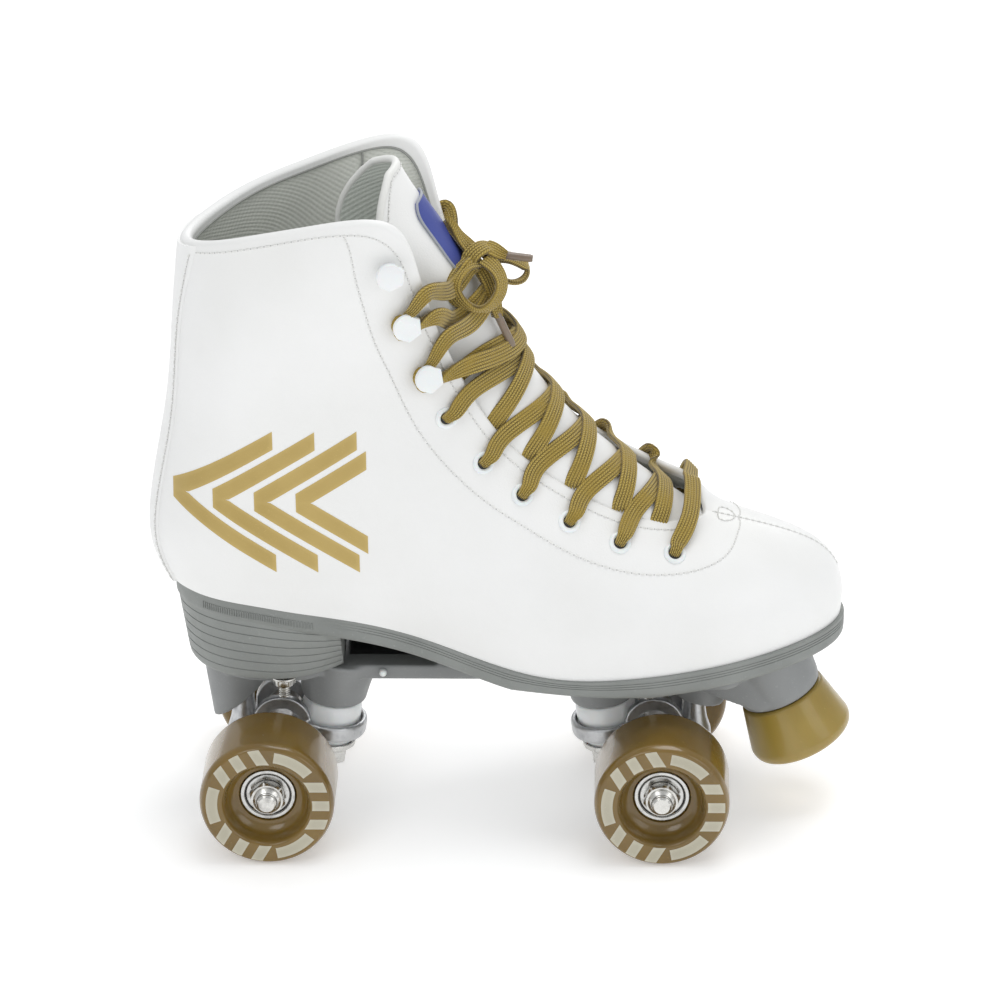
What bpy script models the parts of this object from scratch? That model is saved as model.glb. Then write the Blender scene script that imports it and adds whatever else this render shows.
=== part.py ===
"""Quad roller skate, right foot: a laced boot on a nylon plate with two steering trucks.

Lengths in the tables and constants are millimetres; MM turns them into Blender's metres.
The design frame has +X to the toe, +Y to the wearer's left, +Z up, the ground at z = 0 and
the rear axle at x = 0. The empty "skate" carries every piece and moves that frame so that
the origin is the centre of the skate's footprint.
"""
import math

import bmesh
import bpy
import numpy as np
from mathutils import Matrix, Vector

MM = 0.001

# ---- driving dimensions, mm ----
ORIGIN_X = 92.3            # footprint centre, ahead of the rear axle
WHEELBASE = 157.5
WHEEL_RADIUS = 27.0
WHEEL_WIDTH = 32.0
WHEEL_MID_Y = 45.0         # wheel's middle plane from the skate's centre plane
GAP = 0.3                  # clearance between neighbouring pieces
BEARING_RADIUS = 11.0      # 608 ball bearing: 22 x 8 x 7
BEARING_WIDTH = 7.0
AXLE_RADIUS = 4.0
AXLE_BORE = 4.1
AXLE_HALF_LENGTH = 60.5
NUT_FLATS = 13.0
NUT_HEIGHT = 6.0
HUB_FACE = 7.0             # outer bearing's face from the wheel's middle plane
KINGPIN_X = 24.0           # kingpin from its axle, at KINGPIN_Z
KINGPIN_Z = 48.0
KINGPIN_TILT = math.radians(8.0)
KINGPIN_RADIUS = 5.0
PIVOT_X = -13.0            # pivot from its axle, on the side away from the kingpin
PIVOT_Z = 45.5
PLATE_TOP = 66.0
PLATE_BOTTOM = 59.0
TOE_STOP_TOP = (206.0, 48.0)
TOE_STOP_TILT = math.radians(24.0)
TOE_STOP_LENGTH = 24.2
SOLE_THICKNESS = 8.7
HEEL_BREAST_X = 29.2
BOLT_PLACES = {"rear": 5.5, "front": 152.0}
BOLT_Y = 21.5
LEATHER = 1.6
ROUND = 20                 # sides of a wheel or bearing
SMALL_ROUND = 12           # sides of a small turned piece

# ---- the boot's cage, mm: a column of five points from the sole to the top edge, ----
# ---- from the middle of the toe, round one side, to the middle of the heel       ----
BOOT_CAGE = np.array([
    [(229.5, 0, 81.5), (229.6, 0, 96), (218.5, 0, 112.5), (190, 0, 123.6), (174.5, 0, 127.8)],
    [(218, 21.5, 80.9), (219.5, 20.5, 96.5), (208.5, 17, 112.5), (184, 12, 123), (173, 5.5, 128.2)],
    [(186, 38.5, 78.4), (186.5, 38.5, 95), (182, 33.5, 109), (173, 24, 120), (165, 12, 130)],
    [(145, 43.5, 74.6), (145, 43.5, 92), (143, 40, 106), (142, 31, 121), (143, 16.5, 135.5)],
    [(105, 38, 74), (106, 41, 92), (107, 39, 111), (109, 31, 133), (112, 18, 154)],
    [(65, 29.5, 84.7), (68, 35, 105), (72, 36, 130), (77, 31.5, 156), (87.5, 20, 181)],
    [(35, 31, 94), (38.5, 34, 119), (45, 34.5, 149), (53, 32, 186), (69, 29.5, 226)],
    [(12, 31.5, 98), (15, 34.5, 125), (21, 34.5, 158), (34, 35, 207), (62, 37, 255)],
    [(-3, 31, 100.5), (-4, 34, 128), (1, 33.5, 165), (14, 36.5, 218), (48, 40.5, 269.5)],
    [(-18, 28, 102), (-20, 31, 130), (-16, 30, 170), (-7, 33.5, 220), (14, 35.5, 263.5)],
    [(-32, 18.5, 102.5), (-38, 20, 130), (-31, 19.5, 170), (-26, 21, 215), (-13, 27, 256)],
    [(-41, 0, 102.5), (-47, 0, 128), (-39, 0, 175), (-34.6, 0, 214), (-31, 0, 248.5)],
])
COLUMN_COUNT = len(BOOT_CAGE) - 1
ROWS = (0, 0.17, 0.34, 0.52, 0.7, 0.85, 1)
TOE_SWING = 8.0            # how far the toe turns to the wearer's left
BALL_X = 100.0
TOE_REACH = 130.0

# ---- the instep stands higher on its inner, left side: how far its top edge is moved, ----
# ---- column by column, and which way                                                 ----
INSTEP_RISE = (0, 3, 9, 13, 13.5, 12.5, 9, 7.5, 7, 3.5, 0, 0)
RISE_DIRECTION = np.array((0.55, 0.42, 0.72))
RISE_ROW = 0.4             # the sides are alike below this row

# ---- the tongue, mm: crown x, y, z, half width and depth of the curl ----
TONGUE = (
    (170, 2, 117, 11, 5), (155, 3, 134, 13, 8), (140, 3, 149, 14, 12), (121, 3, 166, 15, 17),
    (104, 3, 189, 17, 22), (90, 3, 215, 19, 26), (78, 3, 239, 21, 29), (69.5, 3, 255, 20, 31),
    (61, 3.5, 266, 19, 32), (55, 4, 275.5, 17, 32),
)
TONGUE_ANGLES = (-90, -58, -25, 0, 25, 58, 90)
TONGUE_THICKNESS = 3.5

# ---- eyelets and hooks as (column, row) on the boot ----
EYELETS = ((2.38, 0.79), (3.05, 0.84), (3.67, 0.856), (4.26, 0.86), (4.79, 0.87), (5.36, 0.875))
HOOKS = ((5.78, 0.892), (6.39, 0.911), (7.21, 0.938))


# ---------------------------------------------------------------- scene and materials
def clear_scene():
    for old in list(bpy.data.objects):
        bpy.data.objects.remove(old)


def collection(name):
    made = bpy.data.collections.new(name)
    bpy.context.scene.collection.children.link(made)
    return made


def linear(channel):
    c = channel / 255
    return c / 12.92 if c <= 0.04045 else ((c + 0.055) / 1.055) ** 2.4


def material(name, red, green, blue, roughness, metallic=0.0):
    made = bpy.data.materials.new(name)
    made.use_nodes = True
    shader = made.node_tree.nodes["Principled BSDF"]
    shader.inputs["Base Color"].default_value = (linear(red), linear(green), linear(blue), 1)
    shader.inputs["Roughness"].default_value = roughness
    shader.inputs["Metallic"].default_value = metallic
    return made


# ---------------------------------------------------------------- making objects
def add(name, mesh, look, parent, where=(0, 0, 0), turn=(0, 0, 0), smooth=True):
    piece = bpy.data.objects.new(name, mesh)
    PARTS.objects.link(piece)
    piece.parent = parent
    piece.location = Vector(where) * MM
    piece.rotation_euler = turn
    if look:
        mesh.materials.append(look)
    if smooth:
        mesh.shade_smooth()
        mesh.set_sharp_from_angle(angle=math.radians(35))
    return piece


def empty(name, parent, where, turn=(0, 0, 0)):
    made = bpy.data.objects.new(name, None)
    PARTS.objects.link(made)
    made.parent = parent
    made.location = Vector(where) * MM
    made.rotation_euler = turn
    return made


def profile_mesh(name, points, closed):
    """An edge loop in the XZ plane, ready for a Screw modifier about Z."""
    mesh = bpy.data.meshes.new(name)
    verts = [(r * MM, 0, z * MM) for r, z in points]
    edges = [(i, i + 1) for i in range(len(points) - 1)]
    if closed:
        edges.append((len(points) - 1, 0))
    mesh.from_pydata(verts, edges, [])
    return mesh


def turned(name, points, look, parent, where=(0, 0, 0), turn=(0, 0, 0), steps=ROUND):
    """A turned piece: closed rings have no point on the axis, solid pieces start and end on it."""
    solid = points[0][0] == 0
    piece = add(name, profile_mesh(name, points, not solid), look, parent, where, turn, smooth=False)
    screw = piece.modifiers.new("turn", "SCREW")
    screw.axis = "Z"
    screw.steps = steps
    screw.render_steps = steps
    screw.use_merge_vertices = True
    screw.merge_threshold = 0.00001
    screw.use_smooth_shade = True
    return piece


def tube_profile(inner, outer, low, high):
    return [(outer, high), (outer, low), (inner, low), (inner, high)]


def primitive(name, build, look, parent, where=(0, 0, 0), turn=(0, 0, 0), **options):
    """A piece from one of bmesh's primitives."""
    mesh = bpy.data.meshes.new(name)
    bm = bmesh.new()
    build(bm, **options)
    bm.to_mesh(mesh)
    bm.free()
    return add(name, mesh, look, parent, where, turn)


def cylinder(name, radius, low, high, look, parent, where=(0, 0, 0), turn=(0, 0, 0), sides=ROUND, top=None):
    """An upright cylinder or cone between two heights."""
    middle = Matrix.Translation((0, 0, (low + high) / 2 * MM))
    return primitive(
        name, bmesh.ops.create_cone, look, parent, where, turn, cap_ends=True, segments=sides,
        radius1=radius * MM, radius2=(radius if top is None else top) * MM,
        depth=(high - low) * MM, matrix=middle,
    )


def block(name, low, high, look, parent):
    """A box between two corners."""
    low, high = Vector(low), Vector(high)
    size = Matrix.Diagonal(((high - low) * MM).to_4d())
    size[3][3] = 1
    place = Matrix.Translation((low + high) / 2 * MM)
    return primitive(name, bmesh.ops.create_cube, look, parent, size=1, matrix=place @ size)


def bevel(piece, width, segments=2):
    modifier = piece.modifiers.new("rounded edges", "BEVEL")
    modifier.width = width * MM
    modifier.segments = segments
    modifier.limit_method = "ANGLE"
    modifier.angle_limit = math.radians(40)


def hide_tool(tool):
    tool.hide_render = True
    tool.display_type = "WIRE"
    PARTS.objects.unlink(tool)
    TOOLS.objects.link(tool)


def combine(piece, tool, operation):
    modifier = piece.modifiers.new(operation.lower(), "BOOLEAN")
    modifier.operation = operation
    modifier.object = tool
    modifier.solver = "EXACT"
    hide_tool(tool)


def join(piece, *tools):
    for tool in tools:
        combine(piece, tool, "UNION")


def cut(piece, *tools):
    for tool in tools:
        combine(piece, tool, "DIFFERENCE")


def grid_mesh(name, points, wrap=False):
    """A sheet through a grid of points in mm, points[row][column]; its faces look along
    (next column) x (next row). With wrap the last column joins the first."""
    bm = bmesh.new()
    verts = [[bm.verts.new(Vector(p) * MM) for p in row] for row in points]
    columns = len(points[0])
    for low, high in zip(verts, verts[1:]):
        for i in range(columns if wrap else columns - 1):
            j = (i + 1) % columns
            bm.faces.new((low[i], low[j], high[j]))
            bm.faces.new((low[i], high[j], high[i]))
    mesh = bpy.data.meshes.new(name)
    bm.to_mesh(mesh)
    bm.free()
    return mesh


def solidify(piece, thickness, outward=False):
    modifier = piece.modifiers.new("thickness", "SOLIDIFY")
    modifier.thickness = thickness * MM
    modifier.offset = 1 if outward else -1


def loft(name, sections, look, parent):
    """A closed solid through rings of points in mm; a ring runs anticlockwise seen from the
    last ring's side."""
    bm = bmesh.new()
    rings = [[bm.verts.new(Vector(p) * MM) for p in ring] for ring in sections]
    count = len(rings[0])
    for first, second in zip(rings, rings[1:]):
        for i in range(count):
            j = (i + 1) % count
            bm.faces.new((first[i], first[j], second[j], second[i]))
    bm.faces.new(list(reversed(rings[0])))
    bm.faces.new(rings[-1])
    bmesh.ops.remove_doubles(bm, verts=bm.verts, dist=0.00001)
    bmesh.ops.dissolve_degenerate(bm, edges=bm.edges, dist=0.00001)
    bmesh.ops.recalc_face_normals(bm, faces=bm.faces)
    mesh = bpy.data.meshes.new(name)
    bm.to_mesh(mesh)
    bm.free()
    return add(name, mesh, look, parent)


# ---------------------------------------------------------------- the boot's surface
def spline(points, at):
    """The smooth curve through points[1:-1], at a place counted from 0 at points[1]."""
    i = min(int(at), len(points) - 4)
    t = at - i
    p0, p1, p2, p3 = points[i:i + 4]
    return 0.5 * (2 * p1 + (p2 - p0) * t + (2 * p0 - 5 * p1 + 4 * p2 - p3) * t ** 2
                  + (3 * p1 - p0 - 3 * p2 + p3) * t ** 3)


def boot_point(column, row, side):
    """A point on the boot's outside: column 0 is the toe and COLUMN_COUNT the heel, row 0 the
    sole and 1 the top edge, side -1 the wearer's right and 1 the left."""
    mirror = np.array((1.0, -1.0, 1.0))
    padded = np.concatenate([BOOT_CAGE[1:2] * mirror, BOOT_CAGE, BOOT_CAGE[-2:-1] * mirror])
    levels = [spline(padded[:, k], column) for k in range(padded.shape[1])]
    ends = [2 * levels[0] - levels[1]] + levels + [2 * levels[-1] - levels[-2]]
    x, y, z = spline(np.array(ends), row * (len(levels) - 1))
    swing = max(0.0, (x - BALL_X) / TOE_REACH)
    place = np.array((x, side * y + TOE_SWING * swing ** 2, z))
    if side > 0 and row > RISE_ROW:
        share = ((row - RISE_ROW) / (1 - RISE_ROW)) ** 1.5
        place += RISE_DIRECTION * np.interp(column, range(COLUMN_COUNT + 1), INSTEP_RISE) * share
    return place


def boot_normal(column, row, side):
    """The outward direction of the boot's surface."""
    step = 0.02
    low_row, high_row = max(0.0, row - step), min(1.0, row + step)
    up = boot_point(column, high_row, side) - boot_point(column, low_row, side)
    if column < step or column > COLUMN_COUNT - step:
        inner = step if column < step else COLUMN_COUNT - step
        along = boot_point(inner, row, 1) - boot_point(inner, row, -1)
        along = along if column < step else -along
    else:
        along = side * (boot_point(column + step, row, side) - boot_point(column - step, row, side))
    out = np.cross(along, up)
    return out / np.linalg.norm(out)


def boot_offset(column, row, side, distance):
    return boot_point(column, row, side) + boot_normal(column, row, side) * distance


def ring_columns():
    """The columns all round the boot, toe to heel up the left side and back down the right."""
    halves = [i / 2 for i in range(2 * COLUMN_COUNT + 1)]
    return [(c, 1) for c in halves] + [(c, -1) for c in reversed(halves[1:-1])]


def boot_sheet(name, columns, rows, distance, wrap):
    points = [[boot_offset(c, r, side, distance) for c, side in columns] for r in rows]
    return grid_mesh(name, points, wrap)


def foot_outline(inset):
    """Left and right edge points of the boot's bottom, toe to heel, moved inwards by inset."""
    halves = [i / 2 for i in range(2 * COLUMN_COUNT + 1)]
    ring = np.array([boot_point(c, 0, 1) for c in halves]
                    + [boot_point(c, 0, -1) for c in reversed(halves[1:-1])])
    ahead = np.roll(ring, -1, axis=0) - np.roll(ring, 1, axis=0)
    inward = np.stack([-ahead[:, 1], ahead[:, 0], 0 * ahead[:, 0]], 1)
    inward /= np.linalg.norm(inward, axis=1)[:, None]
    moved = ring + inward * (inset(ring[:, 0])[:, None] if callable(inset) else inset)
    count = len(halves)
    left = moved[:count]
    right = np.concatenate([moved[:1], moved[count:][::-1], moved[count - 1:count]])
    return left, right


def feather_height(x):
    """Height of the line where the boot meets the sole."""
    line = np.array([boot_point(i / 2, 0, 1) for i in range(2 * COLUMN_COUNT + 1)])[::-1]
    return np.interp(x, line[:, 0], line[:, 2])


def slab(name, inset, low, high, look, parent):
    """A sheet that follows the boot's bottom, from low to high above the feather line."""
    left, right = foot_outline(inset)
    sections = []
    for a, b in zip(left, right):
        z_a, z_b = feather_height(a[0]), feather_height(b[0])
        sections.append([
            (a[0], a[1], z_a + high), (b[0], b[1], z_b + high),
            (b[0], b[1], z_b + low), (a[0], a[1], z_a + low),
        ])
    return loft(name, sections, look, parent)


# ---------------------------------------------------------------- wheels
def wheel_profile():
    """Half section, outboard end up: tread, bowl round the nut, bearing seats, inner recess."""
    face = WHEEL_WIDTH / 2
    seat = BEARING_RADIUS + GAP
    tread = WHEEL_RADIUS / math.cos(math.pi / ROUND)
    outer_low, outer_high = HUB_FACE - BEARING_WIDTH - GAP, HUB_FACE
    inner_low, inner_high = -14.0, -7 + GAP
    return [
        (25.4, face), (tread, face - 2.2), (tread, 2.2 - face), (25.4, -face),
        (14.5, -face), (seat + 0.8, inner_low), (seat, inner_low), (seat, inner_high), (9, inner_high),
        (9, outer_low), (seat, outer_low), (seat, outer_high), (12.4, outer_high),
        (15.4, 11.5), (17.3, face),
    ]


def add_wheel(place, hand, axle_x, truck):
    """One wheel cassette on its own spin axis; hand is -1 on the wearer's right."""
    name = f"{place}_{'left' if hand > 0 else 'right'}"
    outboard = math.radians(-90 * hand)
    flat_down = math.pi / ROUND
    spin = empty(f"{name}_spin_axis", truck, (axle_x, hand * WHEEL_MID_Y, WHEEL_RADIUS),
                 (outboard, flat_down, 0))
    turned(f"{name}_wheel", wheel_profile(), URETHANE, spin)
    bearing = tube_profile(AXLE_BORE, BEARING_RADIUS, -BEARING_WIDTH / 2, BEARING_WIDTH / 2)
    turned(f"{name}_outer_bearing", bearing, STEEL, spin, (0, 0, HUB_FACE - BEARING_WIDTH / 2))
    turned(f"{name}_inner_bearing", bearing, STEEL, spin, (0, 0, -10.5))
    spacer = tube_profile(AXLE_BORE + 0.1, 6.0, GAP - 7, HUB_FACE - BEARING_WIDTH - GAP)
    turned(f"{name}_bearing_spacer", spacer, STEEL, spin, steps=SMALL_ROUND)
    nut_corner = NUT_FLATS / 2 / math.cos(math.pi / 6)
    nut = cylinder(f"{name}_axle_nut", nut_corner, HUB_FACE + GAP, HUB_FACE + GAP + NUT_HEIGHT, ZINC, spin,
                   sides=6)
    thread = cylinder(f"{name}_nut_thread", AXLE_BORE + 0.15, 5, 20, None, spin, sides=SMALL_ROUND)
    cut(nut, thread)


# ---------------------------------------------------------------- trucks
def kingpin_axis(place, axle_x, hand, parent):
    """An empty on the kingpin's axis, +Z up the pin; the pin leans its foot to the axle."""
    return empty(f"{place}_kingpin_axis", parent, (axle_x + hand * KINGPIN_X, 0, KINGPIN_Z),
                 (0, hand * KINGPIN_TILT, 0))


def steer_axis(place, axle_x, hand, parent):
    """An empty at the pivot, +X along the steering axis to the middle of the hanger's ring."""
    ring_x = KINGPIN_X - 14.5 * math.sin(KINGPIN_TILT)
    ring_z = KINGPIN_Z - 14.5 * math.cos(KINGPIN_TILT)
    drop = math.atan2(PIVOT_Z - ring_z, ring_x - PIVOT_X)
    return empty(f"{place}_steer_axis", parent, (axle_x + hand * PIVOT_X, 0, PIVOT_Z), (0, hand * drop, 0))


def add_hanger(place, axle_x, hand, kingpin, steer):
    """The truck casting: axle barrel, ring round the kingpin and post up to the pivot."""
    name = f"{place}_hanger"
    nose = WHEEL_MID_Y - 14 - GAP
    barrel = [(0, nose), (6.6, nose), (7.2, 22), (9, 12), (9, -12), (7.2, -22), (6.6, -nose), (0, -nose)]
    piece = turned(name, barrel, CAST, steer, steps=SMALL_ROUND)
    to_design = steer.matrix_world.inverted() @ SKATE.matrix_world
    across = Matrix.Rotation(math.radians(90), 4, "X")
    piece.matrix_local = to_design @ Matrix.Translation(Vector((axle_x, 0, WHEEL_RADIUS)) * MM) @ across
    ring = turned(f"{place}_ring", [
        (14.3, -11.0), (14.3, -17.5), (7.5, -17.5), (7.5, -13.2), (12.4, -13.2), (12.6, -11.0),
    ], None, kingpin)
    post = turned(f"{place}_post", [
        (0, PIVOT_Z + 4.9), (2.6, PIVOT_Z + 4.2), (4.6, PIVOT_Z + 1.8), (4.9, PIVOT_Z - 1), (5.2, 34),
        (6.5, 30), (6.5, 24), (0, 24),
    ], None, SKATE, (axle_x + hand * PIVOT_X, 0, 0), steps=SMALL_ROUND)
    arm_ends = sorted((axle_x + hand * PIVOT_X, axle_x))
    arm = block(f"{place}_arm", (arm_ends[0], -5, 22), (arm_ends[1], 5, 33), None, SKATE)
    web_ends = sorted((axle_x + hand * 4, axle_x + hand * 10.4))
    web = block(f"{place}_web", (web_ends[0], -9, 28.5), (web_ends[1], 9, 34.6), None, SKATE)
    hole = cylinder(f"{place}_axle_hole", AXLE_RADIUS + GAP, -40, 40, None, SKATE,
                    (axle_x, 0, WHEEL_RADIUS), (math.radians(90), 0, 0), sides=SMALL_ROUND)
    well = cylinder(f"{place}_kingpin_well", 7.4, -19, -9, None, kingpin)
    join(piece, arm, web, post, ring)
    cut(piece, well, hole)


def add_truck(place, axle_x, hand):
    kingpin = kingpin_axis(place, axle_x, hand, SKATE)
    steer = steer_axis(place, axle_x, hand, SKATE)
    bpy.context.view_layer.update()
    add_hanger(place, axle_x, hand, kingpin, steer)
    upright = steer.matrix_world.inverted() @ SKATE.matrix_world
    truck = empty(f"{place}_truck", steer, (0, 0, 0))
    truck.matrix_local = upright
    axle = cylinder(f"{place}_axle", AXLE_RADIUS, -AXLE_HALF_LENGTH, AXLE_HALF_LENGTH, STEEL, truck,
                    (axle_x, 0, WHEEL_RADIUS), (math.radians(90), 0, 0))
    bevel(axle, 0.6, 1)
    turned(f"{place}_kingpin", [
        (0, 17.2), (8.5, 17.2), (8.5, 12.6), (KINGPIN_RADIUS, 12.6), (KINGPIN_RADIUS, -33.2),
        (KINGPIN_RADIUS - 0.8, -34), (0, -34),
    ], ZINC, kingpin, steps=SMALL_ROUND)
    snug = KINGPIN_RADIUS + GAP
    turned(f"{place}_upper_cushion", [
        (11.8, -3.6), (12.1, -7.5), (11.8, -12.8), (snug, -12.8), (snug, -2.9), (11, -2.9),
    ], WHITE_RUBBER, kingpin, steps=SMALL_ROUND)
    turned(f"{place}_lower_cushion", [
        (9.6, -17.9), (10.2, -20), (9.6, -22.3), (snug, -22.3), (snug, -17.9),
    ], WHITE_RUBBER, kingpin, steps=SMALL_ROUND)
    turned(f"{place}_cushion_retainer", [
        (11.3, -21.4), (11.3, -24.1), (snug, -24.1), (snug, -22.6), (10.5, -22.6), (10.5, -21.4),
    ], ZINC, kingpin, steps=SMALL_ROUND)
    nut = cylinder(f"{place}_kingpin_nut", 9.2, -31.4, -24.5, ZINC, kingpin, sides=6)
    thread = cylinder(f"{place}_kingpin_thread", KINGPIN_RADIUS + GAP, -40, -20, None, kingpin,
                      sides=SMALL_ROUND)
    cut(nut, thread)
    turned(f"{place}_pivot_cup", [
        (8.2, 53), (8.2, 39.4), (6.7, 39.4), (5.35, 44.5), (5.35, 51.5), (1, 51.5), (1, 53),
    ], WHITE_RUBBER, SKATE, (axle_x + hand * PIVOT_X, 0, 0), steps=SMALL_ROUND)
    for side in (-1, 1):
        add_wheel(place, side, axle_x, truck)


# ---------------------------------------------------------------- plate, toe stop, bolts
def toe_stop_axis():
    """An empty at the top of the toe stop, +Z back up its axis."""
    return empty("toe_stop_axis", SKATE, (TOE_STOP_TOP[0], 0, TOE_STOP_TOP[1]), (0, -TOE_STOP_TILT, 0))


def add_plate(toe_axis):
    """The nylon chassis: a spine, two flanges under the sole and bosses for the trucks and stop."""
    plate = block("plate", (-29, -13, PLATE_BOTTOM), (196, 13, PLATE_TOP), NYLON, SKATE)
    parts = [
        block("rear_flange", (-17, -26, 62), (36, 26, PLATE_TOP), None, SKATE),
        block("front_flange", (112, -27, 62), (187, 27, PLATE_TOP), None, SKATE),
    ]
    cutters = []
    for place, axle_x, hand in TRUCKS:
        kingpin = bpy.data.objects[f"{place}_kingpin_axis"]
        parts.append(cylinder(f"{place}_kingpin_boss", 13, -2.6, 14, None, kingpin, top=17))
        middle = (axle_x + hand * (PIVOT_X - 1), 0, 0)
        parts.append(cylinder(f"{place}_pivot_boss", 10.4, 39.3, 62.5, None, SKATE, middle, top=13.5))
        cutters.append(cylinder(f"{place}_kingpin_hole", KINGPIN_RADIUS + GAP, -10, 30, None, kingpin,
                                sides=SMALL_ROUND))
        cutters.append(cylinder(f"{place}_kingpin_head_well", 9, 12.2, 30, None, kingpin))
        cutters.append(cylinder(f"{place}_cup_seat", 8.2 + 2 * GAP, 30, 53 + GAP, None, SKATE,
                                (axle_x + hand * PIVOT_X, 0, 0), sides=SMALL_ROUND))
    parts.append(cylinder("toe_stop_boss", 17, GAP, 26, None, toe_axis))
    cutters.append(cylinder("toe_stop_bolt_hole", AXLE_RADIUS + GAP, -5, 15, None, toe_axis,
                            sides=SMALL_ROUND))
    for along in BOLT_PLACES.values():
        for side in (-1, 1):
            cutters.append(cylinder(f"plate_bolt_hole_{along}_{side}", 2.5 + GAP, 50, 80, None, SKATE,
                                    (along, side * BOLT_Y, 0), sides=SMALL_ROUND))
    top = block("plate_top_plane", (-60, -60, PLATE_TOP), (183, 60, 120), None, SKATE)
    toe_top = block("toe_rise_plane", (0, -60, 0), (60, 60, 50), None, SKATE)
    toe_top.location = Vector((182.5, 0, PLATE_TOP)) * MM
    toe_top.rotation_euler = (0, math.radians(-7.5), 0)
    join(plate, *parts)
    cut(plate, top, toe_top, *cutters)


def add_toe_stop(toe_axis):
    bore, bore_depth = 4.5, 13
    turned("toe_stop", [
        (0, -bore_depth), (bore, -bore_depth), (bore, 0), (16.2, 0), (17, -0.8), (21.4, -19.8),
        (20.4, -22.8), (17, -TOE_STOP_LENGTH), (0, -TOE_STOP_LENGTH),
    ], STOP_RUBBER, toe_axis)
    bolt = [(0, 14.5), (AXLE_RADIUS, 14.5), (AXLE_RADIUS, -12.5), (0, -12.5)]
    turned("toe_stop_bolt", bolt, STEEL, toe_axis, steps=SMALL_ROUND)


def add_bolts():
    for place, along in BOLT_PLACES.items():
        head = feather_height(along) + 3.9
        for side, word in ((-1, "right"), (1, "left")):
            turned(f"{place}_{word}_mounting_bolt", [
                (0, head + 1.4), (4.6, head + 1.4), (4.6, head), (2.5, head), (2.5, 61.7),
                (4.4, 61.7), (4.4, 58), (2.5, 58), (2.5, 54.5), (0, 54.5),
            ], ZINC, SKATE, (along, side * BOLT_Y, 0), steps=SMALL_ROUND)


# ---------------------------------------------------------------- boot
def add_outsole():
    """One moulding: heel block, waist and forefoot with a slight toe spring."""
    def edge(x):
        return np.interp(x, (-41, -30, 20, 90, 140, 230), (2.6, 1.6, 0.4, -0.6, -1.2, -1.2))

    left, right = foot_outline(edge)
    stations = sorted(set(list(left[:, 0]) + [HEEL_BREAST_X, HEEL_BREAST_X + 0.4]), reverse=True)
    sections = []
    for x in stations:
        y_left = np.interp(x, left[::-1, 0], left[::-1, 1])
        y_right = np.interp(x, right[::-1, 0], right[::-1, 1])
        top = feather_height(x) - 0.5
        if x <= HEEL_BREAST_X:
            low, narrow, low_x = PLATE_TOP + GAP, 0.87, x if x > 0 else x * 0.87
        else:
            low, narrow, low_x = max(top - SOLE_THICKNESS, PLATE_TOP + GAP), 0.96, x
        middle = (y_left + y_right) / 2
        sections.append([
            (x, y_left, top), (x, y_right, top),
            (low_x, middle + (y_right - middle) * narrow, low),
            (low_x, middle + (y_left - middle) * narrow, low),
        ])
    sole = loft("outsole", sections, SOLE_GREY, SKATE)
    for along in BOLT_PLACES.values():
        for side in (-1, 1):
            cut(sole, cylinder(f"sole_bolt_hole_{along}_{side}", 2.5 + GAP, 50, 120, None, SKATE,
                               (along, side * BOLT_Y, 0), sides=SMALL_ROUND))


def add_boot():
    ring = ring_columns()
    upper = add("upper", boot_sheet("upper", ring, ROWS, 0, True), LEATHER_WHITE, SKATE)
    solidify(upper, LEATHER)
    lining = add("lining", boot_sheet("lining", ring, ROWS, -3.0, True), LINING_GREY, SKATE)
    solidify(lining, 2.0)
    heel = [(COLUMN_COUNT - 0.5, 1), (COLUMN_COUNT, 1), (COLUMN_COUNT - 0.5, -1)]
    backstay = add("backstay", boot_sheet("backstay", heel, ROWS, 0.4, False), LEATHER_WHITE, SKATE)
    solidify(backstay, 1.0, outward=True)
    for side, word in ((1, "left"), (-1, "right")):
        span = [(i / 2, side) for i in range(2, 2 * 8 + 1)]
        if side < 0:
            span.reverse()
        stay = add(f"eyelet_stay_{word}", boot_sheet(f"eyelet_stay_{word}", span, ROWS[-3:], -1.9, False),
                   LEATHER_WHITE, SKATE)
        solidify(stay, 0.8)
    board = slab("lasting_board", 6.0, 0.3, 2.9, BOARD_BROWN, SKATE)
    for along in BOLT_PLACES.values():
        for side in (-1, 1):
            cut(board, cylinder(f"board_bolt_hole_{along}_{side}", 2.5 + GAP, 50, 120, None, SKATE,
                                (along, side * BOLT_Y, 0), sides=SMALL_ROUND))
    slab("footbed", 7.5, 6.5, 9.5, LINING_GREY, SKATE)


TONGUE_LINE = np.array([(x, y, z) for x, y, z, _, _ in TONGUE], float)
TONGUE_SIZES = np.array([(width, depth) for _, _, _, width, depth in TONGUE], float)


def tongue_point(row, angle, lift):
    """A point lift mm in front of the tongue: row counts TONGUE's rows, the angle is 0 at the crown."""
    rows = range(len(TONGUE))

    def between(table):
        return np.array([np.interp(row, rows, table[:, k]) for k in range(table.shape[1])])

    along = between(np.gradient(TONGUE_LINE, axis=0))
    front = np.array((along[2], 0, -along[0])) / math.hypot(along[0], along[2])
    width, depth = between(TONGUE_SIZES)
    turn = math.radians(angle)
    back = front * (math.cos(turn) * (depth + lift) - depth)
    return between(TONGUE_LINE) + back + np.array((0, (width + lift) * math.sin(turn), 0))


def tongue_row_below(point):
    """The row of the tongue that lies in front of a point."""
    rows = np.linspace(0, len(TONGUE) - 1, 161)
    crown = np.array([tongue_point(r, 0, 0) for r in rows])
    along = np.gradient(crown, axis=0)
    return rows[np.argmin(np.abs(((crown - point) * along).sum(1)))]


def tongue_sheet(name, rows, angles, lift):
    """Part of the tongue's front face, lift mm in front of it."""
    return grid_mesh(name, [[tongue_point(row, angle, lift) for angle in angles] for row in rows])


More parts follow.
